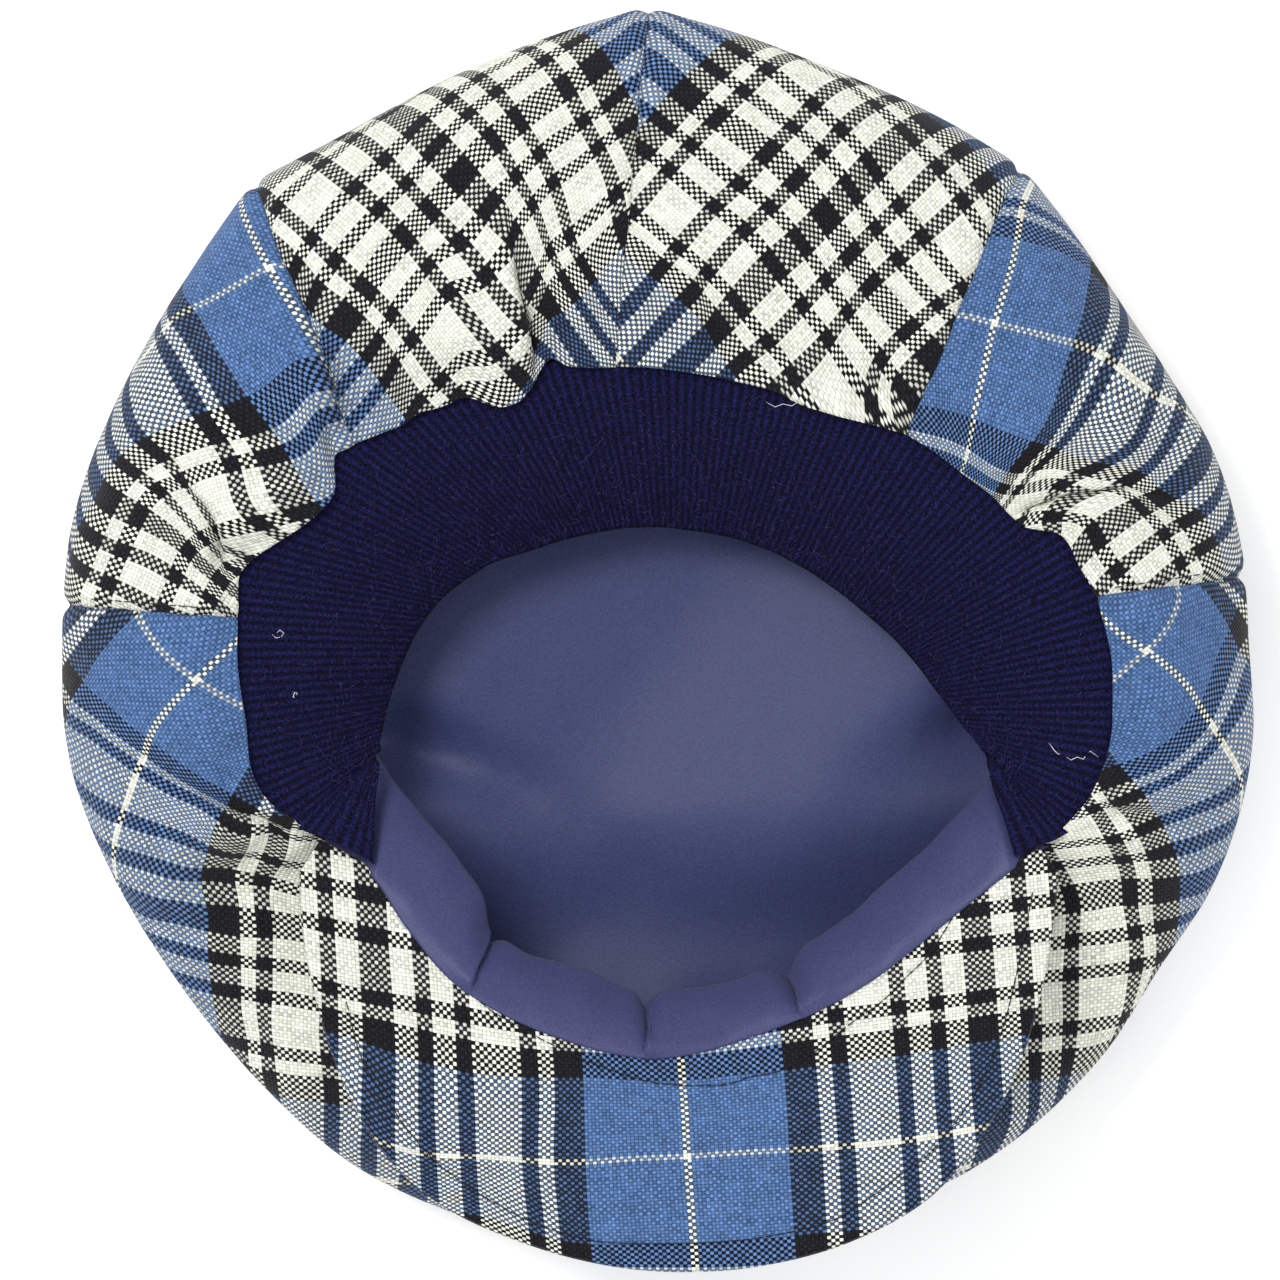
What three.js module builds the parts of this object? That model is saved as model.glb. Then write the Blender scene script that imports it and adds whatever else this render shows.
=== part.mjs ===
// A soft flat cap of woven check cloth, lying on its crown with the head opening up.
// Millimetres, +Z up. The peak points along -Y and the back of the cap along +Y.
// The crown is one wide front piece and four rear gores. They run flat over the
// bottom, turn up round the rim and come back in to the mouth, where the knitted
// ear band, the lining, the satin sweatband and the peak are sewn on.
import * as THREE from 'three';

// Driving sizes
const CLOTH = 1.6;            // crown cloth with its interlining
const LINING = 1.0;
const KNIT = 3.0;             // ear band, knitted double
const SATIN = 1.2;            // sweatband, folded strip
const PEAK_UNDER = 1.2;       // cloth under the peak
const PEAK_TOP = 2.2;         // top cloth and the board inside it
const SEAM_GAP = 0.36;        // gap kept between two neighbours
const EDGE_GAP = 0.9;         // the same where thick edges meet at an angle on the mouth
const BASE_TO_RIM = 33;       // width of the turn from the flat crown to the rim
const RIM_HEIGHT = 27;
const MOUTH_HEIGHT = { back: 59, side: 62 };
const PEAK_HEIGHT = 64;       // the peak's cloth at the middle of its seam
const PEAK_BEND_RADIUS = 240; // the peak is rolled about the front-to-back axis
const PEAK_RISE = 0.4;        // how far it climbs per millimetre outwards
const BAND_DROP = 23;         // how far the ear band hangs below the mouth
const SWEATBAND_DROP = 14;
const PEAK_COLUMNS = 34;
const PEAK_ROWS = 4;
const CENTRE = { x: -0.3, y: 0.1 };  // puts the middle of the whole cap over the origin

// Rim of the crown, seen from above: distance from the centre at each angle
const RIM = [
  { angle: 0, radius: 135.8 }, { angle: 18, radius: 135.3 }, { angle: 33, radius: 132.1 },
  { angle: 48, radius: 133.6 }, { angle: 60, radius: 135.9 }, { angle: 90, radius: 137.6 },
  { angle: 120, radius: 135.4 }, { angle: 150, radius: 135.0 }, { angle: 176, radius: 137.0 },
  { angle: 192, radius: 137.0 }, { angle: 214, radius: 134.8 }, { angle: 243, radius: 139.0 },
  { angle: 270, radius: 140.5 }, { angle: 300, radius: 140.6 }, { angle: 324, radius: 137.4 },
  { angle: 341, radius: 140.4 }, { angle: 353, radius: 137.0 },
];

// Mouth of the crown, where the gathers are sewn to the band and the peak
const MOUTH = [
  { angle: 5.5, radius: 102.8 }, { angle: 17, radius: 92.5 }, { angle: 28.4, radius: 79.7 },
  { angle: 39.3, radius: 72.7 }, { angle: 51, radius: 67.6 }, { angle: 67.6, radius: 63.4 },
  { angle: 80, radius: 62.9 }, { angle: 98, radius: 64.6 }, { angle: 113.5, radius: 66.3 },
  { angle: 124, radius: 67.5 }, { angle: 137, radius: 75.0 }, { angle: 147, radius: 83.5 },
  { angle: 162, radius: 88.4 }, { angle: 170, radius: 94.5 }, { angle: 178, radius: 97.0 },
  { angle: 191, radius: 97.3 }, { angle: 201, radius: 98.5 }, { angle: 209.5, radius: 91.1 },
  { angle: 219, radius: 84.0 }, { angle: 229.3, radius: 86.5 }, { angle: 240, radius: 90.6 },
  { angle: 256.5, radius: 93.4 }, { angle: 270, radius: 95.4 }, { angle: 285, radius: 93.0 },
  { angle: 300.7, radius: 92.2 }, { angle: 313, radius: 92.1 }, { angle: 321, radius: 94.0 },
  { angle: 328.6, radius: 98.0 }, { angle: 334, radius: 103.5 }, { angle: 341, radius: 108.2 },
  { angle: 350, radius: 108.4 },
];

// Seams between the crown pieces. Each leans as the cloth is gathered towards the mouth,
// and stands out at the rim as a soft corner.
const SEAMS = [
  { name: 'ear_right', rim: 6.2, mouth: 5.5, corner: 0, reach: 7 },
  { name: 'rear_right', rim: 52.2, mouth: 39.3, corner: 3.0, reach: 7 },
  { name: 'back', rim: 90.6, mouth: 98.1, corner: 7.6, reach: 10 },
  { name: 'rear_left', rim: 131.3, mouth: 147.0, corner: 3.6, reach: 7 },
  { name: 'ear_left', rim: 176.6, mouth: 176.9, corner: 0, reach: 7 },
];

// Crown pieces between neighbouring seams, with the columns of each one's grid
const PANELS = [
  { name: 'rear_side_panel_right', from: 6.2, to: 52.2, columns: 12 },
  { name: 'rear_panel_right', from: 52.2, to: 90.6, columns: 12 },
  { name: 'rear_panel_left', from: 90.6, to: 131.3, columns: 13 },
  { name: 'rear_side_panel_left', from: 131.3, to: 176.6, columns: 13 },
  { name: 'front_panel', from: 176.6, to: 366.2, columns: 42 },
];

// Folds of the crown cloth: a valley from the mouth (x0, y0) by way of (x1, y1) to (x2, y2),
// with a raised lip on its left when lift is positive, and on its right when it is negative
const FOLDS = [
  { name: 'back_pinch', x0: -24, y0: 62, x1: -33, y1: 84, x2: -27, y2: 118, width: 5.5, depth: 7.5, lift: 3.0 },
  { name: 'rear_left_seam', x0: -70, y0: 44, x1: -76, y1: 70, x2: -88, y2: 98, width: 5.0, depth: 5.0, lift: 3.4 },
  { name: 'ear_crease', x0: -96, y0: 14, x1: -101, y1: 34, x2: -120, y2: 42, width: 5.0, depth: 5.0, lift: 2.4 },
  { name: 'left_corner', x0: -88, y0: -42, x1: -104, y1: -40, x2: -124, y2: -22, width: 6.0, depth: 5.5, lift: 2.6 },
  { name: 'left_tuck', x0: -86, y0: -45, x1: -98, y1: -56, x2: -114, y2: -58, width: 5.0, depth: 4.0, lift: 1.0 },
  { name: 'right_crease', x0: 87, y0: 29, x1: 95, y1: 40, x2: 120, y2: 31, width: 5.0, depth: 6.0, lift: -3.6 },
  { name: 'right_corner', x0: 101, y0: -36, x1: 108, y1: -42, x2: 124, y2: -38, width: 5.0, depth: 5.0, lift: 2.4 },
  { name: 'right_pucker', x0: 17, y0: 62, x1: 11, y1: 76, x2: 9, y2: 96, width: 4.6, depth: 3.2, lift: 1.6 },
  { name: 'rear_right_pucker', x0: 46, y0: 55, x1: 52, y1: 66, x2: 54, y2: 84, width: 4.8, depth: 2.6, lift: 1.6 },
];

// Inner, free edge of the ear band, against the mouth angle of the same section
const BAND = [
  { mouth: 219, x: -65.3, y: -30.5 }, { mouth: 203, x: -64.5, y: -24.5 },
  { mouth: 190, x: -62.3, y: -12.5 }, { mouth: 175, x: -54.5, y: 5.0 },
  { mouth: 158, x: -43.0, y: 16.0 }, { mouth: 138, x: -27.0, y: 22.3 },
  { mouth: 112, x: -12.0, y: 26.3 }, { mouth: 88, x: 3.5, y: 27.2 },
  { mouth: 62, x: 21.5, y: 23.8 }, { mouth: 38, x: 40.0, y: 14.5 },
  { mouth: 17, x: 55.5, y: 1.5 }, { mouth: -2, x: 66.0, y: -11.0 },
  { mouth: -16, x: 74.5, y: -22.5 }, { mouth: -31.4, x: 79.5, y: -31.8 },
];

// Inner, free edge of the satin sweatband, against the mouth angle of the same section
const SWEATBAND = [
  { mouth: 219, x: -60.5, y: -33.0 }, { mouth: 227, x: -51.0, y: -44.5 },
  { mouth: 236, x: -43.0, y: -56.0 }, { mouth: 246, x: -32.5, y: -71.5 },
  { mouth: 257, x: -15.0, y: -77.0 }, { mouth: 269, x: -2.0, y: -82.0 },
  { mouth: 281, x: 14.0, y: -80.5 }, { mouth: 293, x: 32.0, y: -73.5 },
  { mouth: 303, x: 45.0, y: -64.5 }, { mouth: 313, x: 60.5, y: -51.0 },
  { mouth: 321, x: 70.5, y: -41.5 }, { mouth: 328.6, x: 78.0, y: -32.5 },
];

// Tucks that take up the slack of the sweatband, each a pinch across the strip
const TUCKS = [
  { mouth: 241.5, width: 2.2, depth: 5.0 }, { mouth: 269.5, width: 2.0, depth: 5.0 },
  { mouth: 292.0, width: 2.4, depth: 6.0 },
];

// Outer edge of the peak, against the mouth angle of the same section
const PEAK = [
  { mouth: 209.5, x: -82.0, y: -45.5 }, { mouth: 213, x: -81.7, y: -63.0 },
  { mouth: 218, x: -79.0, y: -79.0 }, { mouth: 224, x: -73.4, y: -98.0 },
  { mouth: 231, x: -64.0, y: -116.0 }, { mouth: 239, x: -50.0, y: -129.5 },
  { mouth: 249, x: -31.0, y: -138.5 }, { mouth: 260, x: -12.0, y: -143.8 },
  { mouth: 270, x: 6.0, y: -145.5 }, { mouth: 280, x: 25.0, y: -144.0 },
  { mouth: 291, x: 45.0, y: -138.5 }, { mouth: 301, x: 63.0, y: -128.5 },
  { mouth: 309, x: 75.5, y: -114.0 }, { mouth: 317, x: 84.5, y: -96.5 },
  { mouth: 325, x: 90.5, y: -74.5 }, { mouth: 333, x: 94.0, y: -48.5 },
];

// From the middle of the cloth under the peak down to the middle of the crown cloth below it
const PEAK_STACK = PEAK_UNDER / 2 + PEAK_TOP + CLOTH / 2 + 3 * SEAM_GAP;

const RAD = Math.PI / 180;
const DOWN = new THREE.Vector3(0, 0, -1);
const CROWN_STEP = [0.5, 0.02];   // degrees and ways to each side, for a normal
const clamp = (x) => Math.min(1, Math.max(0, x));
const smooth = (x) => clamp(x) ** 2 * (3 - 2 * clamp(x));
const mix = (a, b, t) => a + (b - a) * t;
const range = (from, to, steps) =>
  Array.from({ length: steps + 1 }, (_, i) => mix(from, to, i / steps));
const turn = (a) => ((a % 360) + 360) % 360;
const apart = (a, b) => Math.abs(turn(a - b + 180) - 180);

// Cubic Hermite curve through rows [key, value], with slopes from the rows on either side
function hermite(rows, x) {
  let i = 1;
  while (i < rows.length - 3 && x > rows[i + 1][0]) i += 1;
  const [[x0, y0], [x1, y1], [x2, y2], [x3, y3]] = rows.slice(i - 1, i + 3);
  const t = (x - x1) / (x2 - x1);
  const m1 = ((y2 - y0) / (x2 - x0)) * (x2 - x1);
  const m2 = ((y3 - y1) / (x3 - x1)) * (x2 - x1);
  return y1 * (2 * t ** 3 - 3 * t ** 2 + 1) + m1 * (t ** 3 - 2 * t ** 2 + t)
    + y2 * (3 * t ** 2 - 2 * t ** 3) + m2 * (t ** 3 - t ** 2);
}

// A closed curve through a table of angles
function around(table, value) {
  const rows = table.map((row) => [row.angle, row[value]]).sort((a, b) => a[0] - b[0]);
  const shifted = (row, by) => [row[0] + by, row[1]];
  const looped = [
    ...rows.slice(-2).map((row) => shifted(row, -360)), ...rows,
    ...rows.slice(0, 3).map((row) => shifted(row, 360)),
  ];
  return (angle) => hermite(looped, turn(angle));
}

// An open curve through a table, running on straight at both ends
function along(table, key, value) {
  const rows = table.map((row) => [row[key], row[value]]).sort((a, b) => a[0] - b[0]);
  const beyond = (a, b) => [2 * a[0] - b[0], 2 * a[1] - b[1]];
  const last = rows.length - 1;
  const extended = [beyond(rows[0], rows[1]), ...rows, beyond(rows[last], rows[last - 1])];
  return (x) => hermite(extended, x);
}

const rimSmooth = around(RIM, 'radius');
const mouthRadius = around(MOUTH, 'radius');

// Rim radius with the soft corner that each seam makes
function rimRadius(angle) {
  const corners = SEAMS.map((s) => s.corner * Math.exp(-apart(angle, s.rim) / s.reach));
  return rimSmooth(angle) + corners.reduce((a, b) => a + b, 0);
}

// How far a line of the crown turns between rim and mouth
const LEAN = around(
  [...SEAMS, { rim: 215, mouth: 215 }, { rim: 270, mouth: 270 }, { rim: 325, mouth: 325 }]
    .map((s) => ({ angle: s.rim, lean: s.mouth - s.rim })),
  'lean',
);

// Underside height of the peak over a point of the plan
const peakHeight = (x, y) => PEAK_HEIGHT + x ** 2 / (2 * PEAK_BEND_RADIUS)
  + PEAK_RISE * (-mouthRadius(270) - y);

// Share of a mouth angle that lies under the peak
const underPeak = (angle) => smooth((turn(angle) - 203) / 10) * smooth((338 - turn(angle)) / 8);

// Height of the crown's mouth edge: free at the back and sides, under the peak at the front
function mouthHeight(angle) {
  const free = mix(MOUTH_HEIGHT.side, MOUTH_HEIGHT.back, clamp(Math.sin(angle * RAD)) ** 2);
  const r = mouthRadius(angle);
  const front = peakHeight(r * Math.cos(angle * RAD), r * Math.sin(angle * RAD)) - PEAK_STACK;
  return mix(free, front, underPeak(angle));
}

const polar = (angle, r, z) =>
  new THREE.Vector3(r * Math.cos(angle * RAD), r * Math.sin(angle * RAD), z);

const bezier = (a, b, c, d, t) => new THREE.CubicBezierCurve3(a, b, c, d).getPoint(t);

// A point of the crown cloth's middle surface without its folds.
// way 0 to 1 is the flat crown, 1 to 2 the turn up to the rim, 2 to 3 the underside.
function crownSmooth(angle, way) {
  const rim = rimRadius(angle);
  const flat = rim - BASE_TO_RIM;
  const base = polar(angle, flat, CLOTH / 2);
  const edge = polar(angle, rim, RIM_HEIGHT);
  if (way <= 1) return polar(angle, flat * way, CLOTH / 2);
  if (way <= 2) {
    const along1 = polar(angle, mix(flat, rim, 0.62), CLOTH / 2);
    const under = polar(angle, rim, RIM_HEIGHT * 0.45);
    return bezier(base, along1, under, edge, way - 1);
  }
  const mouthAngle = angle + LEAN(angle);
  const mouth = polar(mouthAngle, mouthRadius(mouthAngle), mouthHeight(mouthAngle));
  const front = underPeak(mouthAngle);
  const over = edge.clone().setZ(mix(RIM_HEIGHT, mouth.z, mix(0.72, 0.5, front)));
  const crest = mouth.clone().lerp(edge, 0.5).setZ(mouth.z + mix(4.5, -1.5, front));
  return bezier(edge, over, crest, mouth, way - 2);
}

// Depth of the folds at a point of the plan: a valley with a lip beside it
function foldDepth(x, y) {
  let total = 0;
  for (const fold of FOLDS) {
    const path = new THREE.QuadraticBezierCurve(
      new THREE.Vector2(fold.x0, fold.y0), new THREE.Vector2(fold.x1, fold.y1),
      new THREE.Vector2(fold.x2, fold.y2),
    );
    let best = { distance: Infinity };
    for (let i = 0; i <= 16; i += 1) {
      const p = path.getPoint(i / 16);
      const distance = Math.hypot(x - p.x, y - p.y);
      if (distance < best.distance) best = { distance, p, t: i / 16 };
    }
    const ahead = path.getTangent(best.t);
    const side = Math.sign(ahead.x * (y - best.p.y) - ahead.y * (x - best.p.x));
    const d = (side * best.distance) / fold.width;
    const fade = 1 - smooth(best.t) * 0.95;
    const lip = Math.abs(fold.lift) * Math.exp(-(((d * Math.sign(fold.lift || 1)) - 1.7) ** 2));
    total += (lip - fold.depth * Math.exp(-(d ** 2))) * fade;
  }
  return total;
}

// Puff of each rear gore between its seams
function puff(angle) {
  const panel = PANELS.find((p) => turn(angle - p.from) <= p.to - p.from);
  const share = turn(angle - panel.from) / (panel.to - panel.from);
  return panel.name === 'front_panel' ? 0 : 1.8 * Math.sin(Math.PI * share);
}

// Normal of a surface given as a function of two numbers, from points a little to each side
function normalOf(surface, [u, v], [du, dv]) {
  const across = surface(u + du, v).sub(surface(u - du, v));
  const onward = surface(u, v + dv).sub(surface(u, v - dv));
  return across.cross(onward).normalize();
}

// The crown cloth's middle surface with its puff and folds
function crown(angle, way) {
  const point = crownSmooth(angle, way);
  if (way <= 2) return point;
  const free = 1 - underPeak(angle + LEAN(angle));
  const lift = puff(angle) * Math.sin(Math.PI * (way - 2)) + foldDepth(point.x, point.y);
  const normal = normalOf(crownSmooth, [angle, way], CROWN_STEP);
  const sewn = smooth((3 - way) * 7);
  return point.addScaledVector(normal, lift * free * sewn * smooth((way - 2) * 4));
}

// A surface sampled on rows of its second number, each row holding its own first numbers
const sheet = (surface, rows, columnsAt, steps) => rows.map((v) => columnsAt(v)
  .map((u) => ({ point: surface(u, v), normal: normalOf(surface, [u, v], steps) })));

// A closed wall of the given thickness about a sheet. Its rows are joined end to end when
// closed, and its first row is drawn together at a pole when pole is set.
function wall(cells, thickness, { closed = false, pole = false } = {}) {
  const columns = cells[0].length;
  const positions = [];
  const faces = [];
  const put = ({ point, normal }, side) => {
    const p = point.clone().addScaledVector(normal, (side - 0.5) * thickness);
    positions.push(p.x - CENTRE.x, p.y - CENTRE.y, p.z);
    return positions.length / 3 - 1;
  };
  const [low, high] = [0, 1].map((side) => cells.map((row, i) => {
    if (!pole || i > 0) return row.map((cell) => put(cell, side));
    return new Array(columns).fill(put({ point: row[0].point, normal: DOWN }, side));
  }));
  const quad = (a, b, c, d) => {
    if (a !== b) faces.push(a, b, c);
    if (c !== d) faces.push(a, c, d);
  };
  const steps = closed ? columns : columns - 1;
  const last = cells.length - 1;
  for (let j = 0; j < steps; j += 1) {
    const k = (j + 1) % columns;
    for (let i = 0; i < last; i += 1) {
      quad(high[i][j], high[i][k], high[i + 1][k], high[i + 1][j]);
      quad(low[i + 1][j], low[i + 1][k], low[i][k], low[i][j]);
    }
    quad(high[last][j], high[last][k], low[last][k], low[last][j]);
    if (!pole) quad(low[0][j], low[0][k], high[0][k], high[0][j]);
  }
  for (let i = 0; i < last && !closed; i += 1) {
    quad(high[i][0], high[i + 1][0], low[i + 1][0], low[i][0]);
    quad(low[i][steps], low[i + 1][steps], high[i + 1][steps], high[i][steps]);
  }
  const geometry = new THREE.BufferGeometry();
  geometry.setAttribute('position', new THREE.Float32BufferAttribute(positions, 3));
  geometry.setIndex(faces);
  geometry.computeVertexNormals();
  return geometry;
}

// A crown piece: its side edges stay half a seam gap short of the seam all the way,
// so that the tips of the five pieces meet at the middle of the crown
function panelSheet(panel) {
  const span = panel.to - panel.from;
  const tip = SEAM_GAP / Math.sin((Math.min(span, 90) / 2) * RAD);
  const ways = [
    ...range(tip / (rimRadius(panel.from) - BASE_TO_RIM), 1, 2),
    ...range(1, 2, 4).slice(1), ...range(2, 3, 10).slice(1),
  ];
  const angles = (way) => {
    const seam = crownSmooth(panel.from, way);
    const half = Math.asin((SEAM_GAP / 2) / Math.hypot(seam.x, seam.y)) / RAD;
    return range(panel.from + half, panel.to - half, panel.columns);
  };
  return sheet(crown, ways, angles, CROWN_STEP);
}

// The lining hangs inside the crown, free of it at the rim and sewn in at the mouth
const LINING_COLUMNS = 48;
const LINING_SINK = [[0, 2.6], [1, 2.6], [1.6, 3.4], [2.2, 10], [2.6, 11], [2.85, 10], [3, 2.4]];

function liningSink(way) {
  const i = Math.max(1, LINING_SINK.findIndex((row) => row[0] >= way));
  const [[w0, s0], [w1, s1]] = LINING_SINK.slice(i - 1, i + 1);
  return mix(s0, s1, smooth((way - w0) / (w1 - w0)));
}

function liningPoint(angle, way) {
  if (way === 0) return new THREE.Vector3(0, 0, CLOTH / 2 + liningSink(0));
  const normal = normalOf(crownSmooth, [angle, way], CROWN_STEP);
  return crownSmooth(angle, way).addScaledVector(normal, -liningSink(way));
}

function liningSheet() {
  const ways = [0, 0.45, 0.8, 1, 1.3, 1.65, 2, 2.3, 2.6, 2.85, 3];
  const angles = range(0, 360, LINING_COLUMNS).slice(0, -1);
  return sheet(liningPoint, ways, () => angles, CROWN_STEP);
}

// A strip that leaves the mouth level, turns down and ends at a free edge.
// The free edge is a table of plan points, and drop is how far it hangs.
function hangingSheet(table, { columns, rows, drop, start, pinch = () => 0 }) {
  const x = along(table, 'mouth', 'x');
  const y = along(table, 'mouth', 'y');
  const ends = table.map((row) => row.mouth);
  const surface = (angle, t) => {
    const free = new THREE.Vector3(x(angle), y(angle), 0);
    const edge = start(angle);
    const inward = free.clone().sub(edge).setZ(0);
    const reach = inward.length() - pinch(angle);
    inward.normalize();
    free.copy(edge).addScaledVector(inward, reach);
    const low = edge.z - drop(angle);
    const top = edge.clone().addScaledVector(inward, EDGE_GAP);
    const level = edge.clone().addScaledVector(inward, reach * 0.3);
    const bend = edge.clone().addScaledVector(inward, reach * 0.72).setZ(mix(edge.z, low, 0.55));
    return bezier(top, level, bend, free.setZ(low), t);
  };
  const angles = range(Math.min(...ends), Math.max(...ends), columns);
  return sheet(surface, range(0, 1, rows), () => angles, [0.5, 0.02]);
}

// The ear band runs round the back, narrowing to its two ends on the peak
function bandSheet() {
  const start = (angle) => {
    const over = underPeak(angle) * (SATIN + KNIT) * 0.5;
    const z = mix(mouthHeight(angle), peakHeightAtMouth(angle), underPeak(angle));
    return polar(angle, mouthRadius(angle), z + over);
  };
  const drop = (angle) => BAND_DROP
    * mix(0.45, 1, smooth((219 - angle) / 30) * smooth((angle + 31.4) / 30));
  return hangingSheet(BAND, { columns: 48, rows: 5, drop, start });
}

function peakHeightAtMouth(angle) {
  const r = mouthRadius(angle);
  return peakHeight(r * Math.cos(angle * RAD), r * Math.sin(angle * RAD));
}

// The satin sweatband covers the peak's seam and tucks under the ends of the ear band.
// At each tuck it is pinched back towards the seam.
function sweatbandSheet() {
  const start = (angle) => polar(angle, mouthRadius(angle), peakHeightAtMouth(angle));
  const pinch = (angle) => TUCKS.reduce(
    (total, tuck) => total + tuck.depth * Math.exp(-(((angle - tuck.mouth) / tuck.width) ** 2)), 0,
  );
  return hangingSheet(SWEATBAND, { columns: 50, rows: 3, drop: () => SWEATBAND_DROP, start, pinch });
}

// One face of the peak, as a sheet between its seam and its outer edge at the given depth
function peakSheet(depth, inset) {
  const x = along(PEAK, 'mouth', 'x');
  const y = along(PEAK, 'mouth', 'y');
  const angles = range(PEAK[0].mouth + inset, PEAK[PEAK.length - 1].mouth - inset, PEAK_COLUMNS);
  const surface = (angle, t) => {
    const seam = polar(angle, mouthRadius(angle) + EDGE_GAP, 0);
    const px = mix(seam.x, x(angle), t);
    const py = mix(seam.y, y(angle), t);
    return new THREE.Vector3(px, py, peakHeight(px, py) - depth);
  };
  return sheet(surface, range(0, 1, PEAK_ROWS), () => angles, [0.5, 0.05]);
}

const COLOURS = {
  check: { color: 0x6f84a6, roughness: 0.9 },
  knit: { color: 0x17134a, roughness: 0.95 },
  lining: { color: 0x3f456e, roughness: 0.55 },
  satin: { color: 0x474579, roughness: 0.45 },
};

const cap = new THREE.Group();

function piece(name, geometry, look) {
  const material = new THREE.MeshStandardMaterial({ ...COLOURS[look], metalness: 0 });
  const mesh = new THREE.Mesh(geometry, material);
  mesh.name = name;
  cap.add(mesh);
}

for (const panel of PANELS) piece(panel.name, wall(panelSheet(panel), CLOTH), 'check');
piece('lining', wall(liningSheet(), LINING, { closed: true, pole: true }), 'lining');
piece('knit_ear_band', wall(bandSheet(), KNIT), 'knit');
piece('satin_sweatband', wall(sweatbandSheet(), SATIN), 'satin');
piece('peak_under_cover', wall(peakSheet(0, 1.5), PEAK_UNDER), 'check');
piece('peak_top_cover', wall(peakSheet((PEAK_UNDER + PEAK_TOP) / 2 + SEAM_GAP, 1.5), PEAK_TOP), 'check');

export default cap;
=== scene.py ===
import bpy
import numpy as np
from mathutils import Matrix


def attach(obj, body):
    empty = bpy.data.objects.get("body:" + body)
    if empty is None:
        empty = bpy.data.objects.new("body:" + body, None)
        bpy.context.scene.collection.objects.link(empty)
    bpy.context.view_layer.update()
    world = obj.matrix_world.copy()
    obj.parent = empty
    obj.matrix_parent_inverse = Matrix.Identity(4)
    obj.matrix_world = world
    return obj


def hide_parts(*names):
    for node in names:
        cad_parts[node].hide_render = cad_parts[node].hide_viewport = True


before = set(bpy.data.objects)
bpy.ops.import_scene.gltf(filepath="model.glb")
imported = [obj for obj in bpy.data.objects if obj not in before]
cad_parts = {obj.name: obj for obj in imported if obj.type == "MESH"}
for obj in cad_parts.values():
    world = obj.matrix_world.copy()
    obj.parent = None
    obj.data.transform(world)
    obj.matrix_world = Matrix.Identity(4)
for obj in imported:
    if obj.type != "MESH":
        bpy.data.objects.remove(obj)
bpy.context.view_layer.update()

# Crown cloth, front piece
# One wide piece of plain-woven check wool runs from ear seam to ear seam. It is cut on the
# straight grain, gathered into the peak's seam and turned under to the mouth.
CLOTH = 1.3
# Width of the turn from the flat crown to the rim, and heights of the rim and the mouth
BASE_TO_RIM = 33.0
RIM_HEIGHT = 27.0
MOUTH_BACK = 59.0
MOUTH_SIDE = 62.0
# The peak's lower cloth: its height at the middle of its seam, the radius it is rolled to, its
# rise for a millimetre outwards, and how far under it the mouth lies
PEAK_HEIGHT = 64.0
PEAK_BEND_RADIUS = 240.0
PEAK_RISE = 0.4
PEAK_STACK = 4.7
# How far the cloth leads over the mouth before it comes down to it, free and under the peak
CREST_FREE = 4.5
CREST_UNDER_PEAK = -1.5
# Gathers round the mouth, the unevenness of handled cloth, the dip at a seam, and how far the
# gathered edge swells and rolls down
GATHERS = 31
GATHER_DEPTH = 0.9
UNEVENNESS = 0.7
SEAM_DIP = 1.7
EDGE_SWELL = 1.7
EDGE_ROLL = 1.4
# Point that comes to lie over the origin, and metres in a millimetre
CENTRE = np.array([-0.3, 0.1, 0.0])
METRE = 0.001

# Rim seen from above: angle in degrees and distance from the middle
RIM = [
    (0, 138.0), (9, 138.0), (18, 137.1), (27, 134.3), (36, 133.3), (48, 135.4), (60, 137.0),
    (72, 137.4), (84, 139.1), (96, 139.6), (108, 138.0), (120, 136.6), (132, 137.7),
    (144, 136.5), (156, 136.6), (168, 137.9), (180, 137.5), (192, 138.7), (204, 137.0),
    (216, 136.2), (228, 137.6), (240, 140.5), (252, 141.0), (264, 140.6), (276, 141.2),
    (288, 141.7), (300, 143.3), (309, 142.9), (318, 141.8), (327, 139.8), (336, 141.6),
    (348, 141.4),
]
# Mouth, where the gathers are sewn to the band and the peak
MOUTH = [
    (5.5, 102.8), (17, 92.5), (28.4, 79.7), (39.3, 72.7), (51, 67.6), (67.6, 63.4),
    (80, 62.9), (98, 64.6), (113.5, 66.3), (124, 67.5), (137, 75.0), (147, 83.5),
    (162, 88.4), (170, 94.5), (178, 97.0), (191, 97.3), (201, 98.5), (209.5, 91.1),
    (219, 84.0), (229.3, 86.5), (240, 90.6), (256.5, 93.4), (270, 95.4), (285, 93.0),
    (300.7, 92.2), (313, 92.1), (321, 94.0), (328.6, 98.0), (334, 103.5), (341, 108.2),
    (350, 108.4),
]
# Angles of the five seams at the rim
RIGHT_EAR = 6.2
RIGHT_REAR = 52.2
BACK = 90.6
LEFT_REAR = 131.3
LEFT_EAR = 176.6
# Seams between the crown pieces: angle at the rim, angle at the mouth, corner and its reach
SEAMS = [
    (RIGHT_EAR, 5.5, 0.0, 7), (RIGHT_REAR, 39.3, 3.0, 7), (BACK, 98.1, 7.6, 10),
    (LEFT_REAR, 147.0, 3.6, 7), (LEFT_EAR, 176.9, 0.0, 7),
]
# Where the gathered cloth runs straight to the mouth without a lean
STRAIGHT = [215, 270, 325]
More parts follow.
